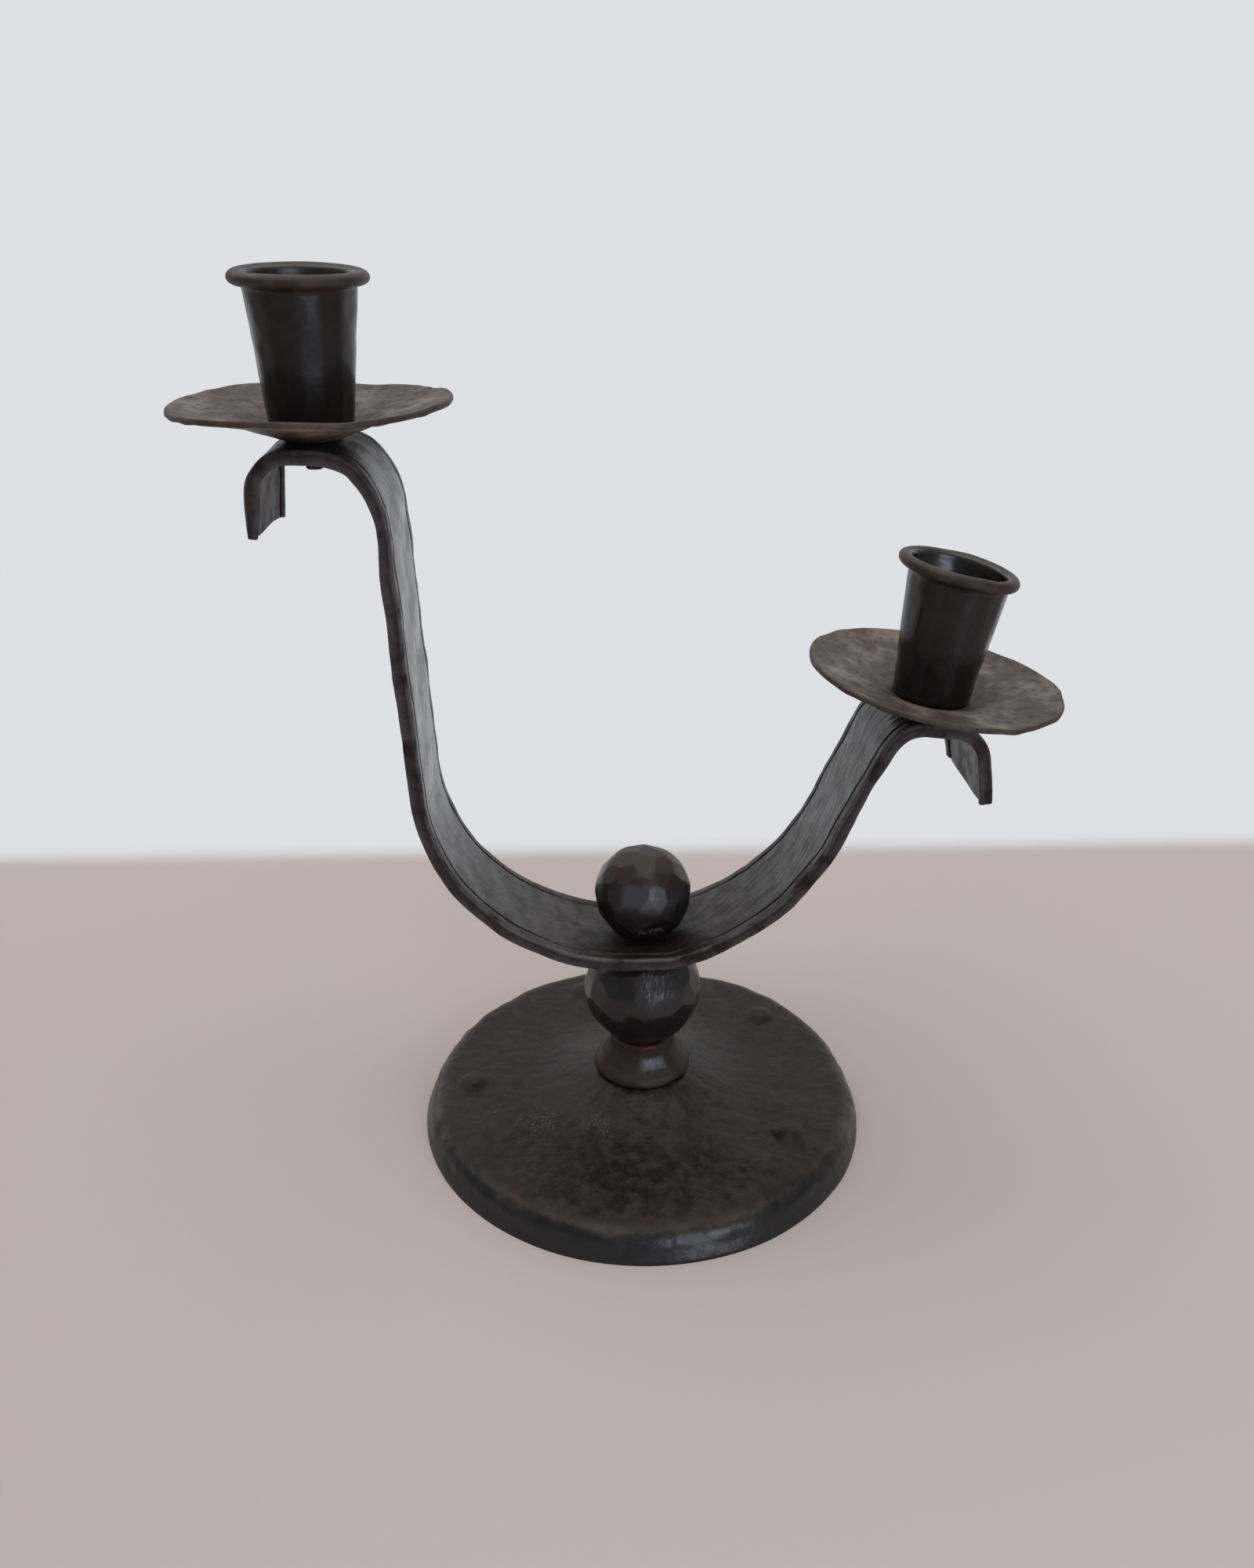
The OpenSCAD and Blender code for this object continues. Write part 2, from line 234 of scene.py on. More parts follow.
def radial(tree: Tree, where: Socket, start: float, end: float) -> Socket:
    """Makes a mask that eases in with the distance from the piece's own Z axis.

    Args:
        tree: node tree that gets the nodes.
        where: position in metres.
        start: distance at which the mask is 0.
        end: distance at which the mask is 1, nearer or farther than the start.

    Returns:
        Mask from 0 to 1.
    """
    flat = add(tree, "ShaderNodeVectorMath", {0: where, 1: LEVEL}, operation="MULTIPLY")
    away = add(tree, "ShaderNodeVectorMath", {0: flat.outputs[0]}, operation="LENGTH").outputs["Value"]
    reach = {"Value": away, "From Min": start * MM, "From Max": end * MM}
    return add(tree, "ShaderNodeMapRange", reach, interpolation_type="SMOOTHSTEP").outputs["Result"]


def grain(
    tree: Tree, where: Socket, size: float, depth: float, strength: Socket | float = 1.0, detail: float = 4.0
) -> Socket:
    """Makes a bumped normal of pits and scale.

    Args:
        tree: node tree that gets the nodes.
        where: position in metres.
        size: distance from one pit to the next.
        depth: height of the relief.
        strength: share of the relief that shows.
        detail: octaves of finer pits.

    Returns:
        Normal for a shader.
    """
    noise = add(tree, "ShaderNodeTexNoise", {"Vector": where, "Scale": 1 / (size * MM), "Detail": detail})
    inputs = {"Height": noise.outputs["Fac"], "Strength": strength, "Distance": depth * MM}
    return add(tree, "ShaderNodeBump", inputs).outputs["Normal"]


@dataclass(frozen=True)
class Finish:
    """A finish that paints one material."""

    name: str

    def material(self) -> Material:
        """Makes the material.

        Returns:
            The painted material.
        """
        made = bpy.data.materials.new(self.name)
        made.use_nodes = True
        tree = made.node_tree
        where = add(tree, "ShaderNodeTexCoord").outputs["Object"]
        self.paint(tree, tree.nodes["Principled BSDF"], where)
        return made

    def paint(self, tree: Tree, shader: Node, where: Socket) -> None:
        """Adds the finish's nodes.

        Args:
            tree: the material's node tree.
            shader: its surface shader.
            where: position on the piece in metres.
        """
        raise NotImplementedError

    @staticmethod
    def lay(tree: Tree, shader: Node, **sockets: Socket) -> None:
        """Links outputs to the shader's sockets, which are named with low lines for spaces."""
        for name, output in sockets.items():
            tree.links.new(output, shader.inputs[name.replace("_", " ")])

    @staticmethod
    def mask(tree: Tree, kind: Mask) -> Socket:
        """Reads one of the piece's vertex masks."""
        return add(tree, "ShaderNodeAttribute", attribute_name=kind.value).outputs["Fac"]

    def broken(self, tree: Tree, where: Socket, kind: Mask, cloud: Cloud) -> Socket:
        """Reads one of the piece's vertex masks and breaks it up into patches."""
        return product(tree, self.mask(tree, kind), patches(tree, where, cloud))


@dataclass(frozen=True)
class OiledSheetIron(Finish):
    """Hammered sheet iron with black mill scale, oiled brown.

    To the eye it has a dull, mottled skin on the deck, and is rubbed bare and glossy on the skirt.
    """

    ground: str = "#1c1411"
    warm: Coat = Coat("#2d211c", 0.7)
    pale: Coat = Coat("#51453f", 0.42)
    dark: Coat = Coat("#0f0b0a", 0.4)
    streaked: Coat = Coat("#51453f", 0.25)
    skirt: Coat = Coat("#121518", 0.9)
    rubbed: Coat = Coat("#4a3a31", 0.35)
    dust: Coat = Coat("#a09c98", 0.5)
    patch: Cloud = Cloud(24.0, 0.42, 0.66)
    mottle: Cloud = Cloud(4.2, 0.44, 0.7)
    fleck: Cloud = Cloud(2.8, 0.5, 0.68)
    wear: Cloud = Cloud(12.0, 0.4, 0.6)
    ray: Cloud = Cloud(1.0, 0.46, 0.72, 2.0)
    ray_angle: float = 11.0
    ray_length: float = 26.0
    cone: Span = (44.0, 19.0)
    speck: float = 0.9
    speck_bare: float = 0.35
    grit: float = 3.6
    grit_bare: float = 0.94
    dot_edge: Span = (0.3, 0.15)
    dot_step: float = 0.02
    pit: float = 2.6
    pit_depth: float = 0.4
    skirt_pits: Span = (1.0, 0.45)
    rough: Span = (0.42, 0.58)
    skirt_rough: float = -0.14
    gloss: Span = (0.22, 0.34)
    skirt_gloss: float = 0.28

    def paint(self, tree: Tree, shader: Node, where: Socket) -> None:
        """Adds brown patches, pale rays on the cone, dust, the worn shoulder and the glossy skirt.

        Args:
            tree: the material's node tree.
            shader: its surface shader.
            where: position on the piece in metres.
        """
        mottled = patches(tree, where, self.mottle)
        cone = radial(tree, where, *self.cone)
        streaks = rays(tree, where, self.ray_angle, self.ray_length, self.ray)
        skirt = self.mask(tree, Mask.EDGE)
        specks = self.dots(tree, where, self.speck, self.speck_bare)
        coats = [
            (patches(tree, where, self.patch), self.warm),
            (mottled, self.pale),
            (patches(tree, where, self.fleck), self.dark),
            (product(tree, streaks, cone), self.streaked),
            (skirt, self.skirt),
            (self.broken(tree, where, Mask.WEAR, self.wear), self.rubbed),
            (product(tree, self.mask(tree, Mask.SCUFF), specks), self.dust),
            (self.dots(tree, where, self.grit, self.grit_bare), self.dust),
        ]
        rough = {0: blended(tree, mottled, *self.rough), 1: blended(tree, skirt, 0, self.skirt_rough)}
        gloss = {0: blended(tree, cone, *self.gloss), 1: blended(tree, skirt, 0, self.skirt_gloss)}
        self.lay(
            tree,
            shader,
            Base_Color=layered(tree, self.ground, coats),
            Roughness=add(tree, "ShaderNodeMath", rough, operation="ADD").outputs[0],
            Specular_IOR_Level=add(tree, "ShaderNodeMath", gloss, operation="ADD").outputs[0],
            Normal=grain(tree, where, self.pit, self.pit_depth, blended(tree, skirt, *self.skirt_pits)),
        )

    def dots(self, tree: Tree, where: Socket, spacing: float, bare: float) -> Socket:
        """Makes a mask of specks.

        Args:
            tree: node tree that gets the nodes.
            where: position in metres.
            spacing: distance from one speck's place to the next.
            bare: share of the places that stay bare.

        Returns:
            Mask from 0 to 1.
        """
        cells = add(tree, "ShaderNodeTexVoronoi", {"Vector": where, "Scale": 1 / (spacing * MM)}).outputs
        outer, inner = self.dot_edge
        size = {"Value": cells["Distance"], "From Min": outer, "From Max": inner}
        pick = {"Value": cells["Color"], "From Min": bare, "From Max": bare + self.dot_step}
        shares = [add(tree, "ShaderNodeMapRange", span).outputs["Result"] for span in (size, pick)]
        return product(tree, *shares)


@dataclass(frozen=True)
class WaxedForgedIron(Finish):
    """Forged iron, waxed black.

    To the eye it has flat hammered faces with a dull gloss, scratched where a tool gripped them.
    """

    ground: str = "#1b1818"
    brown: Coat = Coat("#2b201c", 0.7)
    cold: Coat = Coat("#212226", 0.8)
    dull: Coat = Coat("#3a2c26", 0.8)
    # Near-black coat of painted shade on the undersides.
    underside_shade: Coat = Coat("#0c0a0a", 0.8)
    bare: Coat = Coat("#47464c", 0.7)
    scuff: Coat = Coat("#8d8d91", 0.6)
    rust: Coat = Coat("#5f2f1a", 0.85)
    brown_patch: Cloud = Cloud(12.8, 0.48, 0.66)
    cold_patch: Cloud = Cloud(8.0, 0.48, 0.62)
    rust_patch: Cloud = Cloud(3.0, 0.4, 0.56)
    scratch: Cloud = Cloud(1.0, 0.52, 0.7)
    scratch_size: tuple[float, float, float] = (0.5, 0.5, 4.0)
    scratch_radians: tuple[float, float, float] = (-0.6, 0.25, 0.0)
    pit: float = 1.2
    pit_depth: float = 0.04
    rough: Span = (0.3, 0.42)
    dull_rough: float = 0.15
    gloss: Span = (0.5, 0.3)
    underside_shade_gloss: Span = (1.0, 0.4)

    def paint(self, tree: Tree, shader: Node, where: Socket) -> None:
        """Adds cold and brown patches, dull tops, painted shade on the undersides, scratches and rust in the
        joints.

        Args:
            tree: the material's node tree.
            shader: its surface shader.
            where: position on the piece in metres.
        """
        brown = patches(tree, where, self.brown_patch)
        dull = self.mask(tree, Mask.WEAR)
        # Painted shade: the undersides are darkened and given less gloss.
        shaded_underside = self.mask(tree, Mask.SCORE_AND_SHADE)
        # Real scratches are finer than a pixel, so they are drawn half a millimetre wide.
        size = [side * MM for side in self.scratch_size]
        stretch = {"Vector": where, "Rotation": self.scratch_radians, "Scale": size}
        lines = add(tree, "ShaderNodeMapping", stretch, vector_type="TEXTURE").outputs[0]
        marks = patches(tree, lines, self.scratch, 1.0)
        coats = [
            (brown, self.brown),
            (patches(tree, where, self.cold_patch), self.cold),
            (dull, self.dull),
            (shaded_underside, self.underside_shade),
            (self.mask(tree, Mask.EDGE), self.bare),
            # Scratches; on the collar's front flat they also stand in for a painted highlight.
            (product(tree, marks, self.mask(tree, Mask.SCUFF)), self.scuff),
            (self.broken(tree, where, Mask.RUST, self.rust_patch), self.rust),
        ]
        rough = {0: blended(tree, brown, *self.rough), 1: blended(tree, dull, 0, self.dull_rough)}
        sheen, shine = blended(tree, dull, *self.gloss), blended(tree, shaded_underside, *self.underside_shade_gloss)
        self.lay(
            tree,
            shader,
            Base_Color=layered(tree, self.ground, coats),
            Roughness=add(tree, "ShaderNodeMath", rough, operation="ADD").outputs[0],
            Specular_IOR_Level=product(tree, sheen, shine),
            Normal=grain(tree, where, self.pit, self.pit_depth),
        )


@dataclass(frozen=True)
class WipedStrapIron(Finish):
    """Forged flat bar, blackened and wiped back.

    To the eye it has cloudy grey faces with faint tool strokes, black scored lines and brown-black edges.
    """

    ground: str = "#343130"
    pale: Coat = Coat("#524e4d", 0.5)
    stroked: Coat = Coat("#262221", 0.5)
    clouded: Coat = Coat("#262221", 0.6)
    pitted: Coat = Coat("#262221", 0.7)
    flecked: Coat = Coat("#6e6257", 0.5)
    # Brown-black of the edges, also laid on as painted shade on the underside and at the crest.
    edge: Coat = Coat("#231a18", 0.92)
    rubbed: Coat = Coat("#4d3a36", 0.45)
    # Pale worn corners, which also paint a highlight along them.
    corner_wear_and_glint: Coat = Coat("#6a6669", 0.55)
    score: Coat = Coat("#120f0f", 0.95)
    rust: Coat = Coat("#5f3018", 0.7)
    cloud: Cloud = Cloud(5.5, 0.42, 0.62, 4.0)
    pits: Cloud = Cloud(2.2, 0.54, 0.68)
    flecks: Cloud = Cloud(1.87, 0.6, 0.7)
    spots: Cloud = Cloud(3.0, 0.5, 0.66)
    corners: Cloud = Cloud(7.0, 0.32, 0.54)
    rust_patch: Cloud = Cloud(3.0, 0.46, 0.6)
    wipe: Cloud = Cloud(1.0, 0.4, 0.75, 4.0)
    wipe_size: Span = (3.0, 16.0)
    stroke: Cloud = Cloud(1.0, 0.42, 0.62, 2.0)
    stroke_size: Span = (2.1, 9.0)
    stroke_turn: float = -20.0
    stroke_depth: float = 0.05
    pit: float = 1.1
    pit_depth: float = 0.06
    metal: Span = (0.36, 0.0)
    rough: Span = (0.13, 0.26)
    edge_rough: float = 0.36
    gloss: Span = (0.6, 0.13)
    stroke_gloss: Span = (1.25, 0.7)
    cloud_gloss: Span = (1.12, 0.74)

    def paint(self, tree: Tree, shader: Node, where: Socket) -> None:
        """Adds clouds, wipe marks and strokes on the faces, spotty edges with painted shade on the underside
        and at the crest, worn corners with a painted highlight, dark lines and a little rust.

        Args:
            tree: the material's node tree.
            shader: its surface shader.
            where: position on the piece in metres.
        """
        layout = add(tree, "ShaderNodeUVMap", uv_map=Grid.LAYOUT).outputs[0]
        across, along = self.wipe_size
        squeeze = {"Vector": layout, "Scale": (1 / across, 1 / along, 1)}
        wiped = patches(tree, add(tree, "ShaderNodeMapping", squeeze).outputs[0], self.wipe, 1.0)
        strokes = product(tree, self.strokes(tree, where, layout), self.mask(tree, Mask.SCUFF))
        cloudy = patches(tree, where, self.cloud)
        edge = self.mask(tree, Mask.EDGE)
        coats = [
            (wiped, self.pale),
            (strokes, self.stroked),
            (cloudy, self.clouded),
            (patches(tree, where, self.pits), self.pitted),
            (patches(tree, where, self.flecks), self.flecked),
            # The edge mask also lays painted shade on the underside and at the left crest.
            (edge, self.edge),
            (product(tree, edge, patches(tree, where, self.spots)), self.rubbed),
            # Worn corners, also a painted highlight along them.
            (self.broken(tree, where, Mask.WEAR, self.corners), self.corner_wear_and_glint),
            (self.mask(tree, Mask.SCORE_AND_SHADE), self.score),
            (self.broken(tree, where, Mask.RUST, self.rust_patch), self.rust),
        ]
        rough = {0: blended(tree, cloudy, *self.rough), 1: blended(tree, edge, 0, self.edge_rough)}
        sheen, struck = blended(tree, edge, *self.gloss), blended(tree, strokes, *self.stroke_gloss)
        normal = grain(tree, where, self.pit, self.pit_depth)
        relief = {"Height": strokes, "Distance": self.stroke_depth * MM, "Normal": normal}
        self.lay(
            tree,
            shader,
            Base_Color=layered(tree, self.ground, coats),
            Metallic=blended(tree, edge, *self.metal),
            Roughness=add(tree, "ShaderNodeMath", rough, operation="ADD").outputs[0],
            Specular_IOR_Level=product(tree, sheen, struck, blended(tree, cloudy, *self.cloud_gloss)),
            Normal=add(tree, "ShaderNodeBump", relief).outputs["Normal"],
        )

    def strokes(self, tree: Tree, where: Socket, layout: Socket) -> Socket:
        """Makes a mask of short tool strokes that lean a little off the bar's length.

        Args:
            tree: node tree that gets the nodes.
            where: position in metres.
            layout: distance round and along the bar in millimetres.

        Returns:
            Mask from 0 to 1.
        """
        side = add(tree, "ShaderNodeSeparateXYZ", {0: where}).outputs["Y"]
        along = add(tree, "ShaderNodeSeparateXYZ", {0: layout}).outputs["Y"]
        flat = add(tree, "ShaderNodeCombineXYZ", {"X": product(tree, side, 1 / MM), "Y": along}).outputs[0]
        turn = (0, 0, math.radians(self.stroke_turn))
        lean = {"Vector": flat, "Rotation": turn, "Scale": (*self.stroke_size, 1)}
        place = add(tree, "ShaderNodeMapping", lean, vector_type="TEXTURE").outputs[0]
        return patches(tree, place, self.stroke, 1.0)


@dataclass(frozen=True)
class BrownedPanIron(Finish):
    """Thin sheet iron gone brown.

    To the eye it has a dry matt oxide skin, paler where it was rubbed and dark in the hammer dents.
    """

    ground: str = "#46382f"
    pale: Coat = Coat("#877970", 0.75)
    mottled: Coat = Coat("#2a211e", 0.5)
    dented: Coat = Coat("#2a211e", 0.7)
    shaded: Coat = Coat("#2a211e", 0.5)
    edge: Coat = Coat("#382924", 0.8)
    patch: Cloud = Cloud(12.0, 0.45, 0.63)
    mottle: Cloud = Cloud(2.6, 0.46, 0.68)
    dent: Cloud = Cloud(12.0, 0.4, 0.58)
    middle: Span = (20.0, 11.0)
    pit: float = 1.0
    pit_depth: float = 0.06
    rough: Span = (0.52, 0.68)

    def paint(self, tree: Tree, shader: Node, where: Socket) -> None:
        """Adds pale patches, brown mottling, dark dents, the dark middle and a brown edge.

        Args:
            tree: the material's node tree.
            shader: its surface shader.
            where: position on the piece in metres.
        """
        mottled = patches(tree, where, self.mottle)
        coats = [
            (patches(tree, where, self.patch), self.pale),
            (mottled, self.mottled),
            (self.broken(tree, where, Mask.SCUFF, self.dent), self.dented),
            (radial(tree, where, *self.middle), self.shaded),
            (self.mask(tree, Mask.EDGE), self.edge),
        ]
        self.lay(
            tree,
            shader,
            Base_Color=layered(tree, self.ground, coats),
            Roughness=blended(tree, mottled, *self.rough),
            Normal=grain(tree, where, self.pit, self.pit_depth),
        )


@dataclass(frozen=True)
class StovedSocketIron(Finish):
    """Rolled sheet iron, stoved black with oil.

    To the eye it has a satin black coat with soft upright highlights and a dull brown rim.
    """

    ground: str = "#171312"
    cold: Coat = Coat("#1d1d1f", 0.7)
    brown: Coat = Coat("#261a16", 0.6)
    rim: Coat = Coat("#312621", 0.8)
    rubbed: Coat = Coat("#4c3e37", 0.6)
    stain: Cloud = Cloud(12.0, 0.5, 0.66)
    rub: Cloud = Cloud(6.0, 0.45, 0.65)
    ray: Cloud = Cloud(1.0, 0.45, 0.65, 2.0)
    ray_angle: float = 16.0
    ray_length: float = 40.0
    pit: float = 1.6
    pit_depth: float = 0.04
    rough: Span = (0.27, 0.38)
    rim_rough: float = 0.2
    gloss: Span = (0.34, 0.9)

    def paint(self, tree: Tree, shader: Node, where: Socket) -> None:
        """Adds upright streaks, brown stains, a rubbed rim and a glossier inside.

        Args:
            tree: the material's node tree.
            shader: its surface shader.
            where: position on the piece in metres.
        """
        brown = patches(tree, where, self.stain)
        rim = self.mask(tree, Mask.WEAR)
        coats = [
            (rays(tree, where, self.ray_angle, self.ray_length, self.ray), self.cold),
            (brown, self.brown),
            (rim, self.rim),
            (self.broken(tree, where, Mask.WEAR, self.rub), self.rubbed),
        ]
        rough = {0: blended(tree, brown, *self.rough), 1: blended(tree, rim, 0, self.rim_rough)}
        self.lay(
            tree,
            shader,
            Base_Color=layered(tree, self.ground, coats),
            Roughness=add(tree, "ShaderNodeMath", rough, operation="ADD").outputs[0],
            Specular_IOR_Level=blended(tree, self.mask(tree, Mask.EDGE), *self.gloss),
            Normal=grain(tree, where, self.pit, self.pit_depth),
        )


@dataclass(frozen=True)
class TurnedSteel(Finish):
    """Plain turned mild steel, dulled with age.

    To the eye it has fine rings round the axis and thin brown stains.
    """

    ground: str = "#8d8a86"
    stain: Coat = Coat("#5d4a3c", 0.7)
    patch: Cloud = Cloud(4.0, 0.48, 0.66)
    ring: float = 0.8
    ring_depth: float = 0.02
    ring_wander: float = 0.4
    metal: float = 1.0
    rough: Span = (0.34, 0.6)

    def paint(self, tree: Tree, shader: Node, where: Socket) -> None:
        """Adds brown stains and turned rings.

        Args:
            tree: the material's node tree.
            shader: its surface shader.
            where: position on the piece in metres.
        """
        stained = patches(tree, where, self.patch)
        shader.inputs["Metallic"].default_value = self.metal
        # Turning marks are finer than a pixel, so they are drawn nearly a millimetre apart.
        rings = {"Vector": where, "Scale": 1 / (self.ring * MM) / TURN, "Distortion": self.ring_wander}
        wave = add(tree, "ShaderNodeTexWave", rings, bands_direction="Z")
        relief = {"Height": wave.outputs["Fac"], "Distance": self.ring_depth * MM}
        self.lay(
            tree,
            shader,
            Base_Color=layered(tree, self.ground, [(stained, self.stain)]),
            Roughness=blended(tree, stained, *self.rough),
            Normal=add(tree, "ShaderNodeBump", relief).outputs["Normal"],
        )


@dataclass(frozen=True)
class PaintedBoard(Finish):
    """Board with matt emulsion paint.

    To the eye it has a pale warm coat under the object, and is an even cool white behind it and far out.
    """

    near: str = "#cbc1bf"
    far: Coat = Coat("#dee0e4", 1.0)
    rough: float = 0.9
    backdrop: Span = (166.0, 188.0)
    horizon: Span = (420.0, 700.0)

    def paint(self, tree: Tree, shader: Node, where: Socket) -> None:
        """Sets the coat, and shows it evenly white to the camera and reflections behind the object.

        Args:
            tree: the material's node tree.
            shader: its surface shader.
            where: position on the board in metres.
        """
        start, end = (reach * MM for reach in self.backdrop)
        depth = add(tree, "ShaderNodeSeparateXYZ", {0: where}).outputs["Y"]
        span = {"Value": depth, "From Min": start, "From Max": end}
        behind = add(tree, "ShaderNodeMapRange", span, interpolation_type="SMOOTHSTEP").outputs["Result"]
        shader.inputs["Roughness"].default_value = self.rough
        self.lay(tree, shader, Base_Color=layered(tree, self.near, [(behind, self.far)]))
        ray = add(tree, "ShaderNodeLightPath").outputs
        seen = ray["Is Camera Ray"]
        for kind in ("Is Glossy Ray", "Is Transmission Ray"):
            seen = add(tree, "ShaderNodeMath", {0: seen, 1: ray[kind]}, operation="MAXIMUM").outputs[0]
        far_out = radial(tree, where, *self.horizon)
        parts = {0: product(tree, behind, seen), 1: product(tree, far_out, ray["Is Camera Ray"])}
        white = add(tree, "ShaderNodeMath", parts, operation="MAXIMUM").outputs[0]
        glow = add(tree, "ShaderNodeEmission", {"Color": linear(self.far.colour), "Strength": 1.0})
        mix = add(tree, "ShaderNodeMixShader", {0: white, 1: shader.outputs[0], 2: glow.outputs[0]})
        tree.links.new(mix.outputs[0], tree.nodes["Material Output"].inputs["Surface"])


def smooth(at: Array, start: float, end: float) -> Array:
    """Eases from 0 at the start value to 1 at the end value."""
    share = np.clip((at - start) / (end - start), 0, 1)
    return share * share * (3 - 2 * share)


def unit(v: Array) -> Array:
    """Scales vectors to a length of 1."""
    return v / np.linalg.norm(v, axis=-1, keepdims=True)


def rounded(corners: Sequence[tuple[float, float, float]], step: float = 8.0) -> Array:
    """Rounds the corners of an open outline.

    Args:
        corners: radius, height and rounding of each corner.
        step: largest turn between two points of a rounding.

    Returns:
        Points as radius and height.
    """
    points = np.array([c[:2] for c in corners], float)
    path = [points[0]]
    for before, here, after, (_, _, radius) in zip(points, points[1:], points[2:], corners[1:]):
        u, v = unit(before - here), unit(after - here)
        half = math.acos(float(np.clip(u @ v, -1, 1))) / 2
        if radius == 0:
            path.append(here)
            continue
        middle = here + unit(u + v) * radius / math.sin(half)
        first, last = (here + w * radius / math.tan(half) - middle for w in (u, v))
        start = math.atan2(first[1], first[0])
        sweep = (math.atan2(last[1], last[0]) - start + 1.5 * TURN) % TURN - TURN / 2
        for share in np.linspace(0, 1, max(2, math.ceil(abs(math.degrees(sweep)) / step)) + 1):
            turn = start + sweep * share
            path.append(middle + radius * np.array([math.cos(turn), math.sin(turn)]))
    path.append(points[-1])
    return np.array(path)


def run_of(path: Array) -> Array:
    """Gives the distance along a path at each of its points."""
    return np.concatenate([[0], np.cumsum(np.linalg.norm(np.diff(path, axis=0), axis=1))])


def even(path: Array, spacing: float) -> Array:
    """Spaces the points of a path evenly.

    Args:
        path: points in any number of dimensions.
        spacing: largest distance from one point to the next.

    Returns:
        New points along the same path.
    """
    run = run_of(path)
    at = np.linspace(0, run[-1], math.ceil(run[-1] / spacing) + 1)
    return np.stack([np.interp(at, run, path[:, k]) for k in range(path.shape[1])], axis=1)


def left_of(path: Array) -> Array:
    """Gives the unit vectors on the left of a plane path."""
    ahead = unit(np.gradient(path, axis=0))
    return np.stack([-ahead[:, 1], ahead[:, 0]], axis=1)


@dataclass(frozen=True)
class Runs:
    """A hammered edge: straight runs between corners that lie off the true edge."""

    run: float
    amount: float
    seed: int
    stray: float = 0.35
    fewest: int = 3

    def along(self, at: Array, length: float, closed: bool = False, seed: int = 0) -> Array:
        """Works out how far the edge lies off the true one.

        Args:
            at: distances along the edge.
            length: length of the edge.
            closed: whether the edge's end meets its start.
            seed: the piece's seed, which is added to the edge's own.

        Returns:
            Offset at each distance.
        """
        rng = np.random.default_rng(self.seed + seed)
        count = max(self.fewest, round(length / self.run))
        corners = (np.arange(count) + rng.uniform(-self.stray, self.stray, count)) * length / count
        offsets = rng.uniform(-self.amount, self.amount, count)
        return np.interp(at, corners, offsets, period=length if closed else None)

    def around(self, angles: Array, radius: float, seed: int = 0) -> Array:
        """Works out the offset at each angle, in radians, round a ring."""
        return self.along(angles * radius, TURN * radius, True, seed)


@dataclass(frozen=True)
class Wave:
    """A soft unevenness: the usual distance from one crest to the next, and a crest's usual height."""

    length: float
    height: float
    seed: int
    count: int = 7
    stretch: Span = (0.7, 1.4)

    def at(self, points: Array, seed: int = 0) -> Array:
        """Works out how far the surface lies off the true one.

        Args:
            points: places in space.
            seed: the piece's seed, which is added to the waves' own.

        Returns:
            Offset at each place.
        """
        rng = np.random.default_rng(self.seed + seed)
        aims = unit(rng.normal(size=(self.count, 3)))
        phases = rng.uniform(0, TURN, self.count)
        lengths = self.length * rng.uniform(*self.stretch, self.count)
        total = np.zeros(points.shape[:-1])
        for aim, phase, length in zip(aims, phases, lengths):
            total += np.sin(points @ aim * TURN / length + phase)
        return total * self.height / math.sqrt(self.count / 2)


@dataclass(frozen=True)
class Blows:
    """Round hammer dents scattered over a piece."""

    count: int
    width: Span
    depth: Span
    seed: int
    steepness: float = 1.5

    def driven(self, points: Array, chance: Array, seed: int = 0) -> Array:
        """Works out how deep the hammer has driven each point.

        Args:
            points: grid of points.
            chance: how likely a blow lands at each point.
            seed: the piece's seed, which is added to the blows' own.

        Returns:
            Depth at each point.
        """
        rng = np.random.default_rng(self.seed + seed)
        places = points.reshape(-1, 3)
        odds = chance.ravel() / chance.sum()
        landed = places[rng.choice(len(places), self.count, p=odds)]
        widths = rng.uniform(*self.width, self.count)
        depths = rng.uniform(*self.depth, self.count)
        deep = np.zeros(len(places))
        for place, width, depth in zip(landed, widths, depths):
            share = 1 - np.sum((places - place) ** 2, axis=1) / (width / 2) ** 2
            deep = np.maximum(deep, depth * np.clip(share, 0, None) ** self.steepness)
        return deep.reshape(points.shape[:2])


@dataclass(frozen=True)
class Flats:
    """Flats that a hammer left round a ring: their middles and half their widths, as angles."""

    turns: tuple[float, ...]
    halves: tuple[float, ...]
    crisp: float = 60.0

    @classmethod
    def scattered(cls, count: int, half: Span, crisp: float, seed: int, stray: float = 0.25) -> "Flats":
        """Spreads flats unevenly round a ring.

        Args:
            count: number of flats.
            half: least and greatest half width of a flat.
            crisp: how sharp the corners are.
            seed: seed of the flats.
            stray: farthest that a flat lies from its even place, as a share of the spacing.

        Returns:
            The flats.
        """
        rng = np.random.default_rng(seed)
        turns = (np.arange(count) + rng.uniform(-stray, stray, count)) * 360 / count
        return cls(tuple(turns), tuple(rng.uniform(*half, count)), crisp)

    def shape(self, angles: Array) -> Array:
        """Works out the ring's shape.

        Args:
            angles: angles in radians.

        Returns:
            Radius at each angle, as a share of the round ring's.
        """
        away = angles[..., None] - np.radians(self.turns)
        facing = np.clip(np.cos(away), 0, None) / np.cos(np.radians(self.halves))
        return (1 + np.sum(facing**self.crisp, axis=-1)) ** (-1 / self.crisp)


def placed(name: str, data: bpy.types.ID, place: Matrix = HERE) -> Piece:
    """Makes an object and links it to the scene.

    Args:
        name: the object's name.
        data: its mesh, lamp or camera.
        place: where its own axes lie.

    Returns:
        The new object.
    """
    made = bpy.data.objects.new(name, data)
    made.matrix_world = place
    bpy.context.scene.collection.objects.link(made)
    return made


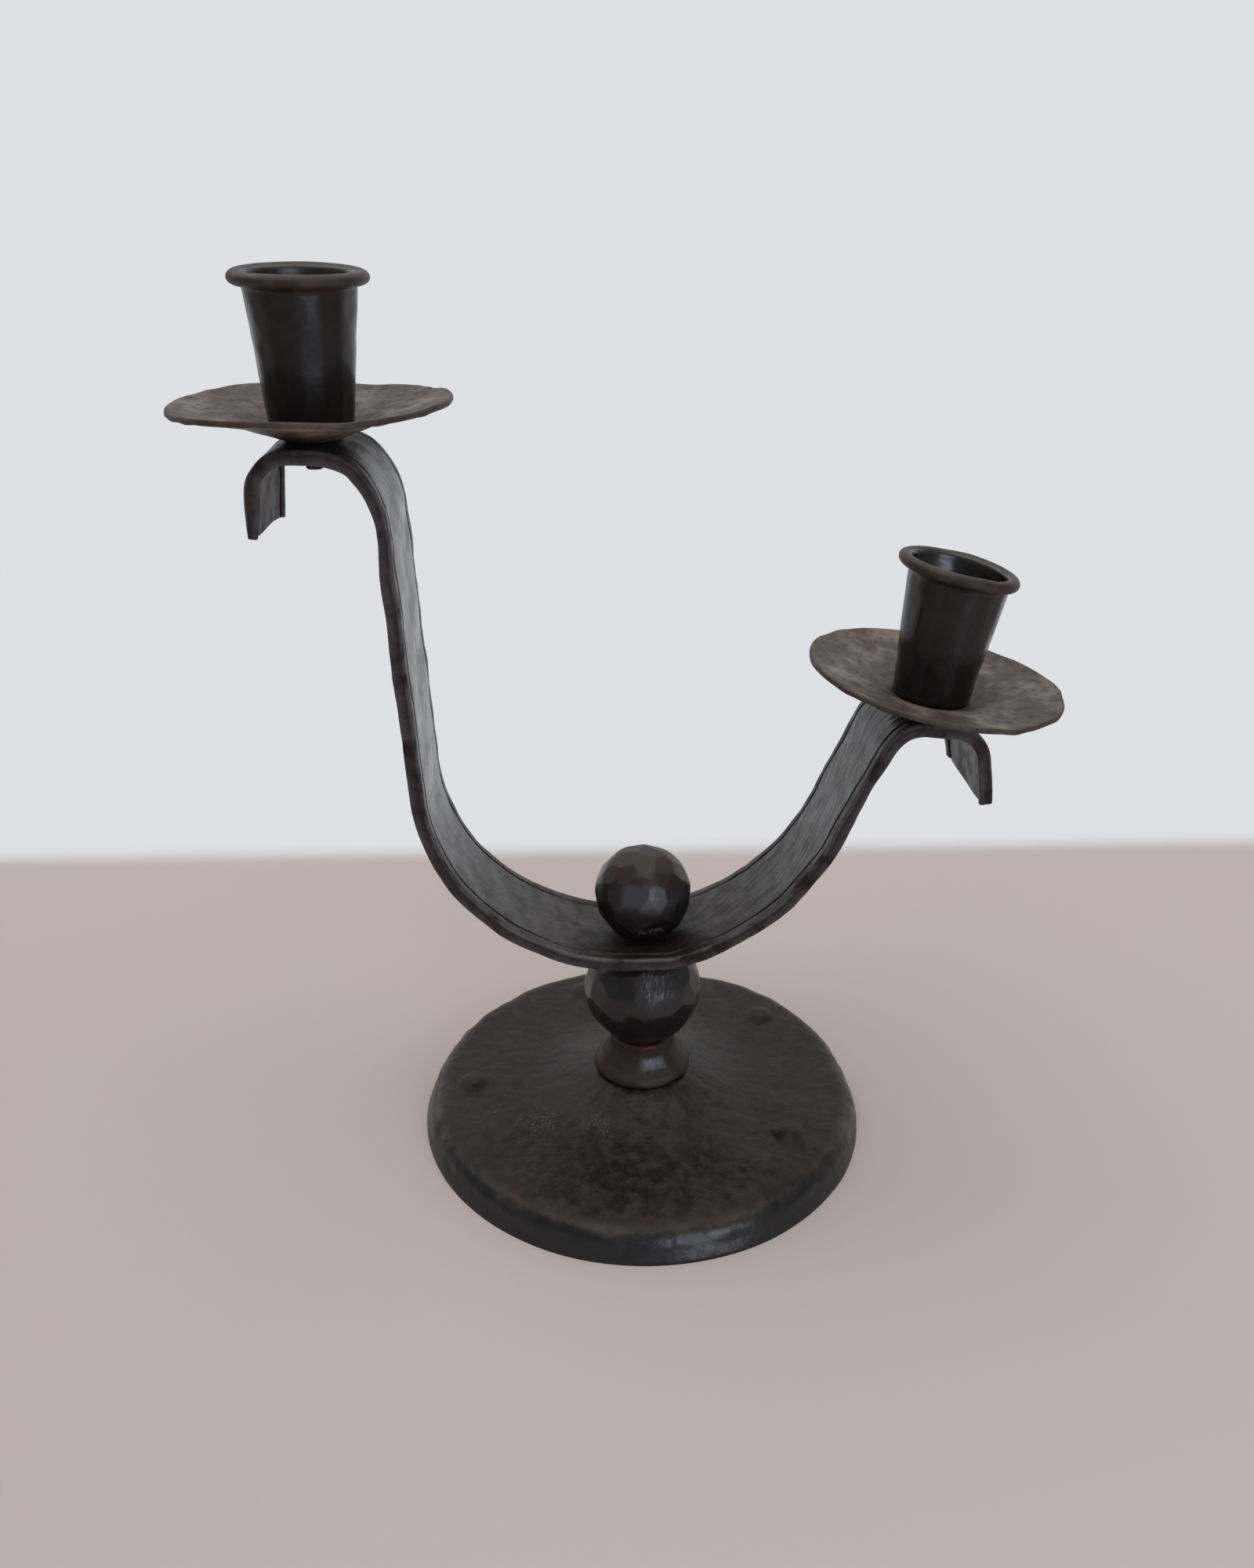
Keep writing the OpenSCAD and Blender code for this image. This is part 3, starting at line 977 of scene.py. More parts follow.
def finished(name: str, mesh: Mesh, place: Matrix) -> Piece:
    """Turns a mesh's faces outward, shades it smooth and makes an object for it.

    Args:
        name: the piece's name.
        mesh: its closed mesh.
        place: where its own axes lie.

    Returns:
        The new object.
    """
    work = bmesh.new()
    work.from_mesh(mesh)
    bmesh.ops.recalc_face_normals(work, faces=work.faces)
    work.to_mesh(mesh)
    work.free()
    mesh.shade_smooth()
    return placed(name, mesh, place)


def store(mesh: Mesh, masks: dict[Mask, Array]) -> None:
    """Writes masks into a mesh.

    Args:
        mesh: the mesh that gets them.
        masks: by kind, a value for each vertex.
    """
    for mask, values in masks.items():
        layer = mesh.attributes.new(mask.value, "FLOAT", "POINT")
        layer.data.foreach_set("value", values.astype(np.float32).ravel())


def dress(piece: Piece, material: Material, body: Body, slot: Slot, *nodes: str) -> Piece:
    """Gives a piece its finish, its body and the solids that it stands for.

    Args:
        piece: the object.
        material: its finish.
        body: what it moves with.
        slot: the record's slot that its finish comes from; not used.
        nodes: the solids that it replaces.

    Returns:
        The same object.
    """
    piece.data.materials.clear()
    piece.data.materials.append(material)
    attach(piece, body.value)
    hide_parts(*nodes)
    log.info("%s: %d faces on %s", piece.name, len(piece.data.polygons), body.value)
    return piece


@dataclass
class Grid:
    """A mesh of quads on rows and columns of points."""

    LAYOUT = "layout"

    points: Array
    closed_rows: bool = True
    masks: dict[Mask, Array] = field(default_factory=dict)
    layout: tuple[Array, Array] | None = None

    def piece(self, name: str, place: Matrix = HERE) -> Piece:
        """Makes the object.

        Args:
            name: the piece's name.
            place: where the grid's own axes lie.

        Returns:
            The new object, shaded smooth.
        """
        rows, columns = self.points.shape[:2]
        number = np.arange(rows * columns).reshape(rows, columns)
        ring = np.concatenate([number, number[:, :1]], axis=1)
        if self.closed_rows:
            ring = np.concatenate([ring, ring[:1]], axis=0)
        quads = np.stack([ring[:-1, :-1], ring[:-1, 1:], ring[1:, 1:], ring[1:, :-1]], axis=-1).reshape(-1, 4)
        faces = quads.tolist()
        if not self.closed_rows:
            faces += [number[0].tolist(), number[-1].tolist()]
        mesh = bpy.data.meshes.new(name)
        mesh.from_pydata((self.points.reshape(-1, 3) * MM).tolist(), [], faces)
        if self.layout is not None:
            self.lay_out(mesh, len(quads))
        store(mesh, {mask: np.broadcast_to(values, number.shape) for mask, values in self.masks.items()})
        return finished(name, mesh, place)

    def lay_out(self, mesh: Mesh, quads: int) -> None:
        """Lays the quads out flat at their real size.

        Args:
            mesh: the mesh that gets the layout.
            quads: number of its quads, which come before its end caps.
        """
        across, along = self.layout
        corners = [(0, 0), (0, 1), (1, 1), (1, 0)]
        columns = len(across) - 1
        at = np.arange(quads)
        flat = np.zeros((len(mesh.loops), 2), np.float32)
        for k, (down, right) in enumerate(corners):
            flat[k : 4 * quads : 4, 0] = across[at % columns + right]
            flat[k : 4 * quads : 4, 1] = along[at // columns + down]
        mesh.uv_layers.new(name=self.LAYOUT).data.foreach_set("uv", flat.ravel())


def spin(loop: Array, steps: int) -> tuple[Array, Array, Array]:
    """Turns an outline round the Z axis.

    Args:
        loop: radius and height of each point.
        steps: columns of the grid.

    Returns:
        The grid's points, the angle of each column in radians and the radius of each point.
    """
    angles = np.arange(steps) * TURN / steps
    radius, height = loop[:, :1], loop[:, 1:]
    points = np.stack([radius * np.cos(angles), radius * np.sin(angles), height + 0 * angles], axis=-1)
    return points, angles, np.hypot(points[..., 0], points[..., 1])


def drill(piece: Piece, places: Sequence[Matrix], diameters: Sequence[float], depth: float) -> None:
    """Cuts round holes through a piece.

    Args:
        piece: the closed mesh object.
        places: middle and axis of each hole, in the piece's own axes.
        diameters: diameter of each hole.
        depth: length of the cutters.
    """
    work = bmesh.new()
    for place, diameter in zip(places, diameters):
        size = {"radius1": diameter / 2 * MM, "radius2": diameter / 2 * MM, "depth": depth * MM}
        bmesh.ops.create_cone(work, cap_ends=True, segments=HOLE_SIDES, matrix=place, **size)
    mesh = bpy.data.meshes.new(piece.name + "_cutter")
    work.to_mesh(mesh)
    work.free()
    cutter = placed(mesh.name, mesh)
    cut = piece.modifiers.new("holes", "BOOLEAN")
    cut.object = cutter
    cut.operation = "DIFFERENCE"
    cut.solver = "EXACT"
    shaped = piece.evaluated_get(bpy.context.evaluated_depsgraph_get())
    mesh = bpy.data.meshes.new_from_object(shaped)
    piece.modifiers.clear()
    piece.data = mesh
    bpy.data.objects.remove(cutter)


@dataclass
class Foot:
    """Spun sheet-iron foot with a hammered deck, a steep skirt and five domed bosses."""

    diameter: float = 140.0
    sheet: float = 2.0
    shoulder_h: float = 10.2
    skirt_spread: float = 3.4
    shoulder_round: float = 7.0
    deck_dip: float = 1.2
    cone_d: float = 64.0
    cone_round: float = 40.0
    hub_h: float = 17.2
    hub_d: float = 31.0
    hub_round: float = 3.0
    hole_d: float = 8.1
    boss_d: float = 10.5
    boss_heights: tuple[float, ...] = (2.2, 2.0, 2.2, 0.8, 2.2)
    boss_insets: tuple[float, ...] = (12.1, 12.1, 11.8, 12.1, 14.4)
    boss_turns: tuple[float, ...] = (38.4, 110.0, 179.8, 254.0, 328.5)
    boss_power: float = 1.1
    dents: Blows = Blows(150, (9, 18), (0.1, 0.4), 5)
    pecks: Blows = Blows(1200, (3, 6.5), (0.14, 0.46), 6)
    rim_dents: Blows = Blows(220, (5, 10), (0.05, 0.2), 7)
    rim_calm: float = 0.6
    wave: Wave = Wave(30, 0.16, 8)
    wave_reach: Span = (18.0, 30.0)
    bulges: tuple[Runs, Runs] = (Runs(17, 0.25, 12), Runs(46, 0.35, 13))
    lifts: Runs = Runs(28, 0.35, 14)
    folds: tuple[int, ...] = (7, 11, 16, 23)
    fold_h: float = 0.05
    fold_start: Span = (-1.0, 5.0)
    fold_end: Span = (24.0, 42.0)
    fold_seed: int = 21
    free_h: Span = (0.4, 5.0)
    rim_w: float = 9.0
    worn_in: Span = (-4.0, -1.5)
    worn_out: Span = (0.0, 1.0)
    bare: Span = (-3.0, 0.6)
    dust: tuple[tuple[float, float, float], ...] = ((-33.2, -19.5, 9.0), (-14.5, -24.5, 6.5))
    dust_core: float = 0.25
    spacing: float = 0.9
    columns: int = 440

    def build(self) -> Piece:
        """Spins the sheet, then hammers the deck, the skirt and the bosses.

        Returns:
            The foot.
        """
        edge_r = self.diameter / 2
        shoulder_r = edge_r - self.skirt_spread
        corners = [
            (self.hole_d / 2, self.hub_h, 0),
            (self.hub_d / 2, self.hub_h, self.hub_round),
            (self.cone_d / 2, self.shoulder_h - self.deck_dip, self.cone_round),
            (shoulder_r, self.shoulder_h, self.shoulder_round),
            (edge_r, 0, 0),
        ]
        upper = even(rounded(corners), self.spacing)
        facing = left_of(upper)
        lower = upper - facing * self.sheet
        lower[:, 1] = np.maximum(lower[:, 1], 0)
        points, angles, radius = spin(np.concatenate([upper, lower[::-1]]), self.columns)
        out, up = np.concatenate([facing, facing[::-1]]).T[..., None]
        free = smooth(points[..., 2], *self.free_h)
        rim = smooth(radius, shoulder_r - self.rim_w, shoulder_r)
        domes = self.bosses(points, shoulder_r)
        calm = 1 - smooth(domes, 0, 1)
        rise = domes - self.hammered(points, radius, rim) * calm + self.flutes(radius, angles)
        bulge = sum(runs.around(angles, edge_r) for runs in self.bulges)
        lift = self.lifts.around(angles, edge_r)
        aim = np.stack([np.cos(angles), np.sin(angles)], axis=-1)
        points[..., :2] += (rise * free * out + bulge * rim)[..., None] * aim
        points[..., 2] += rise * free * up + lift * rim * free
        past = radius - shoulder_r
        dusty = np.zeros(radius.shape)
        for x, y, reach in self.dust:
            away = np.hypot(points[..., 0] - x, points[..., 1] - y)
            dusty = np.maximum(dusty, 1 - smooth(away, reach * self.dust_core, reach))
        masks = {
            Mask.WEAR: smooth(past, *self.worn_in) * (1 - smooth(past, *self.worn_out)),
            Mask.EDGE: smooth(past, *self.bare),
            Mask.SCUFF: dusty,
        }
        return Grid(points, masks=masks).piece("foot")

    def hammered(self, points: Array, radius: Array, rim: Array) -> Array:
        """Works out how deep the hammer has driven the sheet.

        Args:
            points: grid of points.
            radius: distance of each point from the axis.
            rim: mask of the skirt and the shoulder.

        Returns:
            Depth at each point.
        """
        deep = self.dents.driven(points, radius)
        deep += self.pecks.driven(points, radius) * (1 - self.rim_calm * rim)
        deep += self.rim_dents.driven(points, rim)
        return deep - self.wave.at(points) * smooth(radius, *self.wave_reach)

    def bosses(self, points: Array, shoulder_r: float) -> Array:
        """Gives the domes' height at each point.

        Args:
            points: grid of points.
            shoulder_r: radius of the shoulder, from which the domes are set in.

        Returns:
            Height at each point.
        """
        height = np.zeros(points.shape[:2])
        for top, inset, turn in zip(self.boss_heights, self.boss_insets, np.radians(self.boss_turns)):
            middle = (shoulder_r - inset) * np.array([math.cos(turn), math.sin(turn)])
            away = np.linalg.norm(points[..., :2] - middle, axis=-1) / (self.boss_d / 2)
            height += top * np.clip(1 - away**2, 0, None) ** self.boss_power
        return height

    def flutes(self, radius: Array, angles: Array) -> Array:
        """Gives the shallow folds that run down the cone.

        Args:
            radius: distance of each point from the axis.
            angles: angle of each column in radians.

        Returns:
            Height at each point.
        """
        rng = np.random.default_rng(self.fold_seed)
        folds = np.zeros_like(angles)
        for count, phase in zip(self.folds, rng.uniform(0, TURN, len(self.folds))):
            folds += np.sin(count * angles + phase)
        reach = smooth(radius - self.hub_d / 2, *self.fold_start) * (1 - smooth(radius, *self.fold_end))
        return folds * self.fold_h * reach

    def dress(self, material: Material) -> None:
        """Builds the foot and gives it its finish."""
        dress(self.build(), material, Body.STAND, Slot.SHEET, "foot_plate")


@dataclass
class Collar:
    """Bell-shaped bead between the foot and the lower ball, hammered into soft flats."""

    foot_z: float = 17.2
    height: float = 12.5
    lip_d: float = 30.8
    lip_h: float = 2.8
    bell_d: float = 25.8
    bell_h: float = 4.8
    bell_softness: float = 4.0
    waist_d: float = 20.4
    waist_h: float = 8.6
    waist_softness: float = 6.0
    top_d: float = 19.0
    hole_d: float = 8.1
    margin: float = 1.0
    flats: Flats = Flats((-73, -142, -22, 35, 98, 163), (23, 13, 12, 14, 12, 15), 70)
    dents: Blows = Blows(40, (4, 8), (0.05, 0.3), 33)
    rust_turn: float = -105.0
    rust_facing: Span = (0.7, 0.9)
    rust_depth: Span = (0.8, 0.3)
    bare_end: Span = (7.5, 9.5)
    scuffing: float = 0.6
    baring: float = 0.9
    spacing: float = 0.4
    columns: int = 200

    def build(self) -> Piece:
        """Turns the bead and hammers its flats.

        Returns:
            The collar.
        """
        lip_r, hole_r, ease = self.lip_d / 2, self.hole_d / 2, self.lip_h / 3
        outline = [
            (hole_r, 0, 0),
            (lip_r - ease, 0, ease),
            (lip_r, self.lip_h / 2, ease),
            (lip_r - ease / 2, self.lip_h, ease),
            (self.bell_d / 2, self.bell_h, self.bell_softness * ease),
            (self.waist_d / 2, self.waist_h, self.waist_softness * ease),
            (self.top_d / 2, self.height, ease),
            (hole_r, self.height, 0),
        ]
        wall = np.array([[hole_r, self.height], [hole_r, 0]])
        loop = np.concatenate([even(rounded(outline), self.spacing), even(wall, self.margin)[1:-1]])
        points, angles, radius = spin(loop, self.columns)
        level = points[..., 2].copy()
        outside = smooth(radius, hole_r + self.margin, self.top_d / 2 - self.margin)
        struck = smooth(level, 0, self.lip_h)
        struck = struck * (1 - smooth(level, self.bell_h + self.margin, self.height - self.margin))
        softened = (self.flats.shape(angles) - 1) * struck * outside
        dents = self.dents.driven(points, outside) * outside
        points[..., :2] *= (1 + softened - dents / np.maximum(radius, 1))[..., None]
        points[..., 2] += self.foot_z
        facing = np.cos(angles - math.radians(self.rust_turn))
        low, high = (self.height - depth for depth in self.rust_depth)
        rust = smooth(level, low, high) * smooth(facing, *self.rust_facing)
        turn, half = (math.radians(angle[0]) for angle in (self.flats.turns, self.flats.halves))
        face = smooth(level, self.lip_h, self.bell_h) * (1 - smooth(level, *self.bare_end))
        bare = face * smooth(np.cos(angles - turn), math.cos(half), math.cos(half / 2))
        # The scratches on the front flat also lighten it, where they stand in for a painted highlight.
        masks = {Mask.RUST: rust, Mask.SCUFF: self.scuffing * bare, Mask.WEAR: 1 - self.baring * bare}
        return Grid(points, masks=masks).piece("collar")

    def dress(self, material: Material) -> None:
        """Builds the collar and gives it its finish."""
        dress(self.build(), material, Body.STAND, Slot.BALL, "collar_bead")


class Face(NamedTuple):
    """A wide face of a ball: its middle, right of the front and over the horizon, and half its width."""

    turn: float
    rise: float
    half: float

    def aim(self) -> Array:
        """Gives the direction of the face's middle."""
        turn, rise = math.radians(self.turn), math.radians(self.rise)
        return np.array([math.sin(turn) * math.cos(rise), -math.cos(turn) * math.cos(rise), math.sin(rise)])


class Spot(NamedTuple):
    """A patch on a ball: its middle, to the right of the front and over the horizon, and half its reach."""

    turn: float
    rise: float
    half_turn: float
    half_rise: float
    fade: Span = (0.6, 1.1)

    def mask(self, aims: Array) -> Array:
        """Makes a soft-edged mask of the patch.

        Args:
            aims: directions from the ball's middle.

        Returns:
            Mask from 0 to 1 at each direction.
        """
        turn = np.degrees(np.arctan2(aims[:, 0], -aims[:, 1])) - self.turn
        rise = np.degrees(np.arcsin(np.clip(aims[:, 2], -1, 1))) - self.rise
        side, height = np.abs(turn) / self.half_turn, np.abs(rise) / self.half_rise
        return (1 - smooth(side, *self.fade)) * (1 - smooth(height, *self.fade))


@dataclass
class Ball:
    """Forged ball, hammered into flat faces all over and drilled for the tie rod."""

    name: str
    node: str
    middle_z: float
    diameter: float
    seats: tuple[float, ...]
    wide_faces: tuple[Face, ...]
    scuff: Spot
    scuffing: float = 1.0
    rubbed: Spot | None = None
    blows: int = 88
    half: Span = (10.0, 13.0)
    stray: float = 0.08
    crisp: float = 600.0
    dull: Span = (0.4, 0.9)
    dulling: float = 0.55
    # Reach and share of the painted shade on the underside.
    underside_shade: Span = (-0.28, 0.08)
    underside_shading: float = 0.0
    hole_d: float = 8.1
    hole_ends: Span = (-30.0, 30.0)
    splits: int = 7
    seed: int = 1

    def faces(self) -> tuple[Array, Array]:
        """Lists the hammered faces.

        Returns:
            Direction of each face, and its distance from the ball's middle as a share of the radius.
        """
        rng = np.random.default_rng(self.seed)
        golden = math.pi * (3 - math.sqrt(5))
        number = np.arange(self.blows)
        height = 1 - 2 * (number + 0.5) / self.blows
        level = np.sqrt(1 - height**2)
        spiral = np.stack([level * np.cos(number * golden), level * np.sin(number * golden), height], axis=1)
        struck = unit(spiral + rng.normal(scale=self.stray, size=spiral.shape))
        wide = np.array([face.aim() for face in self.wide_faces])
        seats = np.array([[0, 0, math.copysign(1, seat)] for seat in self.seats])
        halves = [*rng.uniform(*self.half, self.blows), *(face.half for face in self.wide_faces)]
        reach = np.concatenate([np.cos(np.radians(halves)), np.abs(self.seats) / (self.diameter / 2)])
        return np.concatenate([struck, wide, seats]), reach

    def build(self) -> Piece:
        """Hammers the faces into a round ball and drills the hole.

        Returns:
            The ball.
        """
        work = bmesh.new()
        bmesh.ops.create_icosphere(work, subdivisions=self.splits, radius=1.0)
        mesh = bpy.data.meshes.new(self.name)
        work.to_mesh(mesh)
        work.free()
        aims = unit(np.array([v.co for v in mesh.vertices]))
        faces, reach = self.faces()
        facing = np.clip(aims @ faces.T, 0, None) / reach
        size = (1 + np.sum(facing**self.crisp, axis=1)) ** (-1 / self.crisp) * self.diameter / 2
        mesh.vertices.foreach_set("co", (aims * size[:, None] * MM).ravel())
        piece = finished(self.name, mesh, Matrix.Translation((0, 0, self.middle_z * MM)))
        low, high = self.hole_ends
        drill(piece, [Matrix.Translation((0, 0, (low + high) / 2 * MM))], [self.hole_d], high - low)
        aims = unit(np.array([v.co for v in piece.data.vertices]))
        masks = {
            Mask.SCUFF: self.scuffing * self.scuff.mask(aims),
            Mask.WEAR: self.dulling * smooth(aims[:, 2], *self.dull),
            # Painted shade: darker and less glossy towards the underside.
            Mask.SCORE_AND_SHADE: self.underside_shading * smooth(-aims[:, 2], *self.underside_shade),
        }
        if self.rubbed:
            masks[Mask.EDGE] = self.rubbed.mask(aims)
        store(piece.data, masks)
        return piece

    def dress(self, material: Material) -> None:
        """Builds the ball and gives it its finish."""
        dress(self.build(), material, Body.STAND, Slot.BALL, self.node)


class Bend(NamedTuple):
    """One step of an arm: a straight length, then a bend, positive towards the strap's upper face."""

    straight: float
    radius: float
    angle: float


@dataclass
class Crest:
    """Seat of a pan on the strap: its middle and its own upright axis in the XZ plane."""

    middle: Array
    axis: Array

    def place(self) -> Matrix:
        """Works out how a piece stands on the seat.

        Returns:
            Matrix from the piece's own axes.
        """
        x, z = self.axis
        across = Vector((z, 0, -x))
        upright = Vector((x, 0, z))
        turn = Matrix((across, Vector((0, 1, 0)), upright)).transposed().to_4x4()
        return Matrix.Translation((self.middle[0] * MM, 0, self.middle[1] * MM)) @ turn


@dataclass
class Strap:
    """Flat bar bent into both arms, with scored borders, hammered edges and uneven tails."""

    width: float = 32.5
    thickness: float = 3.1
    upper_round: float = 1.1
    upper_turns: tuple[float, ...] = (75, 60, 45, 30, 15, 0)
    lower_round: float = 0.7
    lower_turns: tuple[float, ...] = (0, -22, -45, -68)
    score_inset: float = 3.4
    score_w: float = 1.0
    score_depth: float = 0.5
    score_span: float = 0.75
    score_steps: int = 7
    seat_z: float = 64.88
    rod_hole_d: float = 8.1
    rivet_hole_d: float = 4.6
    spacing: float = 0.9
    front_runs: Runs = Runs(10, 0.35, 41)
    back_runs: Runs = Runs(11, 0.35, 42)
    wave: Wave = Wave(16, 0.1, 43)
    dents: Blows = Blows(320, (5, 11), (0.05, 0.2), 44)
    seat_flare: float = 1.6
    flare_climb: Span = (0.3, 0.85)
    sweep_start: Span = (55.0, 75.0)
    sweep_swell: float = 0.9
    swell: float = 0.8
    swell_reach: float = 4.0
    swell_end: Span = (48.0, 63.0)
    twist: float = 0.03
    tail_twists: Span = (0.0, 0.05)
    lift: float = 0.48
    lift_climb: Span = (0.2, 0.7)
    tail_reach: float = 10.0
    tip_taper: Span = (0.05, 0.5)
    taper_side: Span = (-0.2, 1.0)
    left_curl: float = 0.2
    left_end: tuple[Span, ...] = (
        (-1, -1.0),
        (-0.6, -0.6),
        (-0.2, -0.9),
        (0.06, -1.1),
        (0.5, -0.2),
        (0.85, 0.6),
        (1, 1.0),
    )
    right_end: tuple[Span, ...] = ((-1, 1.2), (-0.5, 1.4), (0, 0.6), (0.6, 0.2), (1, -0.6))
    left: tuple[Bend, ...] = (
        Bend(5, 58.3, 87.2),
        Bend(75.1, 24.1, -36.4),
        Bend(0, 12.4, -50.3),
        Bend(7, 10.2, -84.1),
        Bend(12.4, 1, 0),
    )
    right: tuple[Bend, ...] = (
        Bend(5, 15.1, 15.2),
        Bend(0, 68.6, 51.1),
        Bend(29.8, 14.4, -40.7),
        Bend(0, 8, -32.6),
        Bend(7, 11.1, -75.5),
        Bend(11.5, 1, 0),
    )
    # Where the masks begin and are full, as shares of the rounding or the line's width or in millimetres.
    edge_bite: float = 0.3
    edge_start: Span = (0.5, 0.1)
    border_start: Span = (0.3, 0.8)
    border_dark: float = 0.55
    # Painted shade: how much the underside and the left crest under its pan are darkened with the edges'
    # colour, where the crest is also browner iron; and how much the upper face darkens towards the seat.
    under_shade: Span = (0.6, 0.9)
    under_border_shade: float = 0.1
    seat_dark: float = 0.6
    seat_reach: Span = (12.0, 60.0)
    crown_brown_and_shade: float = 0.6
    crown_drop: Span = (13.0, 4.0)
    corner_wear_and_glint_reach: Span = (0.3, 1.0)
    line_reach: Span = (0.15, 0.6)
    stroked: Span = (0.3, 1.0)
    stroke_start: Span = (10.0, 35.0)
    rust_reach: Span = (7.5, 10.0)
    rust_front: Span = (2.0, 5.0)
    rust_right: Span = (1.0, 6.0)

    def walk(self, run: Sequence[Bend]) -> tuple[Array, Crest]:
        """Follows an arm from the seat to its tail.

        Args:
            run: the arm's steps.

        Returns:
            Rows of x, z and heading in radians, and the crest before the last bend.
        """
        x, z, heading = 0.0, self.seat_z, 0.0
        rows = [(x, z, heading)]
        crest = None
        for number, bend in enumerate(run):
            if number == len(run) - 2:
                half = bend.straight / 2
                middle = np.array([x + half * math.cos(heading), z + half * math.sin(heading)])
                crest = Crest(middle, np.array([-math.sin(heading), math.cos(heading)]))
            steps = math.ceil(bend.straight / self.spacing)
            for _ in range(steps):
                x += bend.straight / steps * math.cos(heading)
                z += bend.straight / steps * math.sin(heading)
                rows.append((x, z, heading))
            turn = math.radians(bend.angle)
            steps = math.ceil(abs(turn) * bend.radius / self.spacing)
            for _ in range(steps):
                piece, way = turn / steps, math.copysign(bend.radius, turn)
                x += way * (math.sin(heading + piece) - math.sin(heading))
                z += way * (math.cos(heading) - math.cos(heading + piece))
                heading += piece
                rows.append((x, z, heading))
        return np.array(rows), crest

    def section(self) -> Array:
        """Draws the bar's outline across its width.

        Returns:
            Points as distance across and height, round the bar.
        """
        half, thick = self.width / 2, self.thickness / 2
        line = half - self.score_inset
        flat = np.arange(0, line - self.score_w, 3 * self.spacing)
        cut = line + self.score_w * np.linspace(-self.score_span, self.score_span, self.score_steps)
        side = np.concatenate([flat, cut, [(cut[-1] + half - self.upper_round) / 2, half - self.upper_round]])
        groove = self.score_depth * (1 - smooth(np.abs(side - line), 0, self.score_w / 2))
        top = np.stack([side, thick - groove], axis=1)
        corners = []
        for rounding, turns in ((self.upper_round, self.upper_turns), (self.lower_round, self.lower_turns)):
            turn = np.radians(turns)
            middle = np.array([half - rounding, math.copysign(thick - rounding, turns[0] + turns[-1])])
            corners.append(middle + rounding * np.stack([np.cos(turn), np.sin(turn)], axis=1))
        right = np.concatenate([top, *corners, top[::-1] * [1, -1]])
        left = right[::-1] * [-1, 1]
        return np.concatenate([right, left[1:-1]])

    def build(self) -> tuple[Piece, Crest, Crest]:
        """Sweeps the bar's outline along both arms and hammers it.

        Returns:
            The strap and the left and right crests.
        """
        left_rows, left_crest = self.walk(self.left)
        right_rows, right_crest = self.walk(self.right)
        left_crest = Crest(left_crest.middle * [-1, 1], left_crest.axis * [-1, 1])
        left_rows = left_rows[:0:-1] * [-1, 1, -1]
        rows = np.concatenate([left_rows, right_rows])
        climb = np.sin(np.concatenate([-left_rows[:, 2], right_rows[:, 2]]))[:, None]
        run = run_of(rows[:, :2])
        outline = self.section()
        across, height, end = self.hammered(outline, run, climb)
        up = np.stack([-np.sin(rows[:, 2]), np.cos(rows[:, 2])], axis=1)
        x = rows[:, 0, None] + up[:, 0, None] * height + up[:, 1, None] * end
        z = rows[:, 1, None] + up[:, 1, None] * height - up[:, 0, None] * end
        points = np.stack([x, across, z], axis=-1)
        around = run_of(np.concatenate([outline, outline[:1]]))
        grid = Grid(points, closed_rows=False, masks=self.masks(outline, points), layout=(around, run))
        piece = grid.piece("strap")
        holes = [Matrix.Translation((0, 0, self.seat_z * MM)), left_crest.place(), right_crest.place()]
        drill(piece, holes, [self.rod_hole_d, self.rivet_hole_d, self.rivet_hole_d], 4 * self.thickness)
        return piece, left_crest, right_crest

    def hammered(self, outline: Array, run: Array, climb: Array) -> tuple[Array, Array, Array]:
        """Works the bar: uneven edges, dents, swollen borders, a slight twist and shaped tails.

        Args:
            outline: the bar's outline across its width.
            run: distance of each row from the left end.
            climb: how steeply each row climbs away from the seat, from -1 to 1.

        Returns:
            Distance across, height over the middle line and shift along the bar, for each row and point.
        """
        half = self.width / 2
        side = outline[:, 0] / half + 0 * run[:, None]
        front, back = (runs.along(run, run[-1])[:, None] for runs in (self.front_runs, self.back_runs))
        from_end = np.minimum(run, run[-1] - run)[:, None]
        sweep = smooth(from_end, *self.sweep_start)
        back = back + self.seat_flare * (1 - smooth(np.abs(climb), *self.flare_climb)) * sweep
        across = side * (half + np.where(side < 0, front, back))
        from_left, from_right = (
            np.clip(1 - far / self.tail_reach, 0, 1)[:, None] ** 2 for far in (run, run[-1] - run)
        )
        blunt, sharp = self.tip_taper
        taper = from_left * (blunt + (sharp - blunt) * smooth(-side, *self.taper_side)) + from_right * blunt
        height = outline[:, 1] * (1 - taper)
        face = np.sign(height)
        spread = np.stack([across, run[:, None] + 0 * across, face * self.width], axis=-1)
        dents = self.dents.driven(spread, np.ones(across.shape))
        border = smooth(np.abs(side) * half, half - self.swell_reach, half - self.upper_round)
        swollen = self.swell * (1 - smooth(from_end, *self.swell_end))
        swollen = (swollen + self.sweep_swell * (side < 0) * sweep) * border * (face < 0)
        tail_twist = np.where(run < run[-1] / 2, *self.tail_twists)[:, None]
        lean = np.where(climb > 0, self.twist, tail_twist) * climb
        height = height - face * dents * (np.abs(outline[:, 1]) > self.thickness / 3) - swollen
        height = height + self.wave.at(spread * LEVEL) + lean * across - self.left_curl * from_left
        height = height + self.lift * smooth(climb, *self.lift_climb)
        left, right = (np.interp(side, *zip(*cut)) for cut in (self.left_end, self.right_end))
        return across, height, right * np.sqrt(from_right) - left * np.sqrt(from_left)

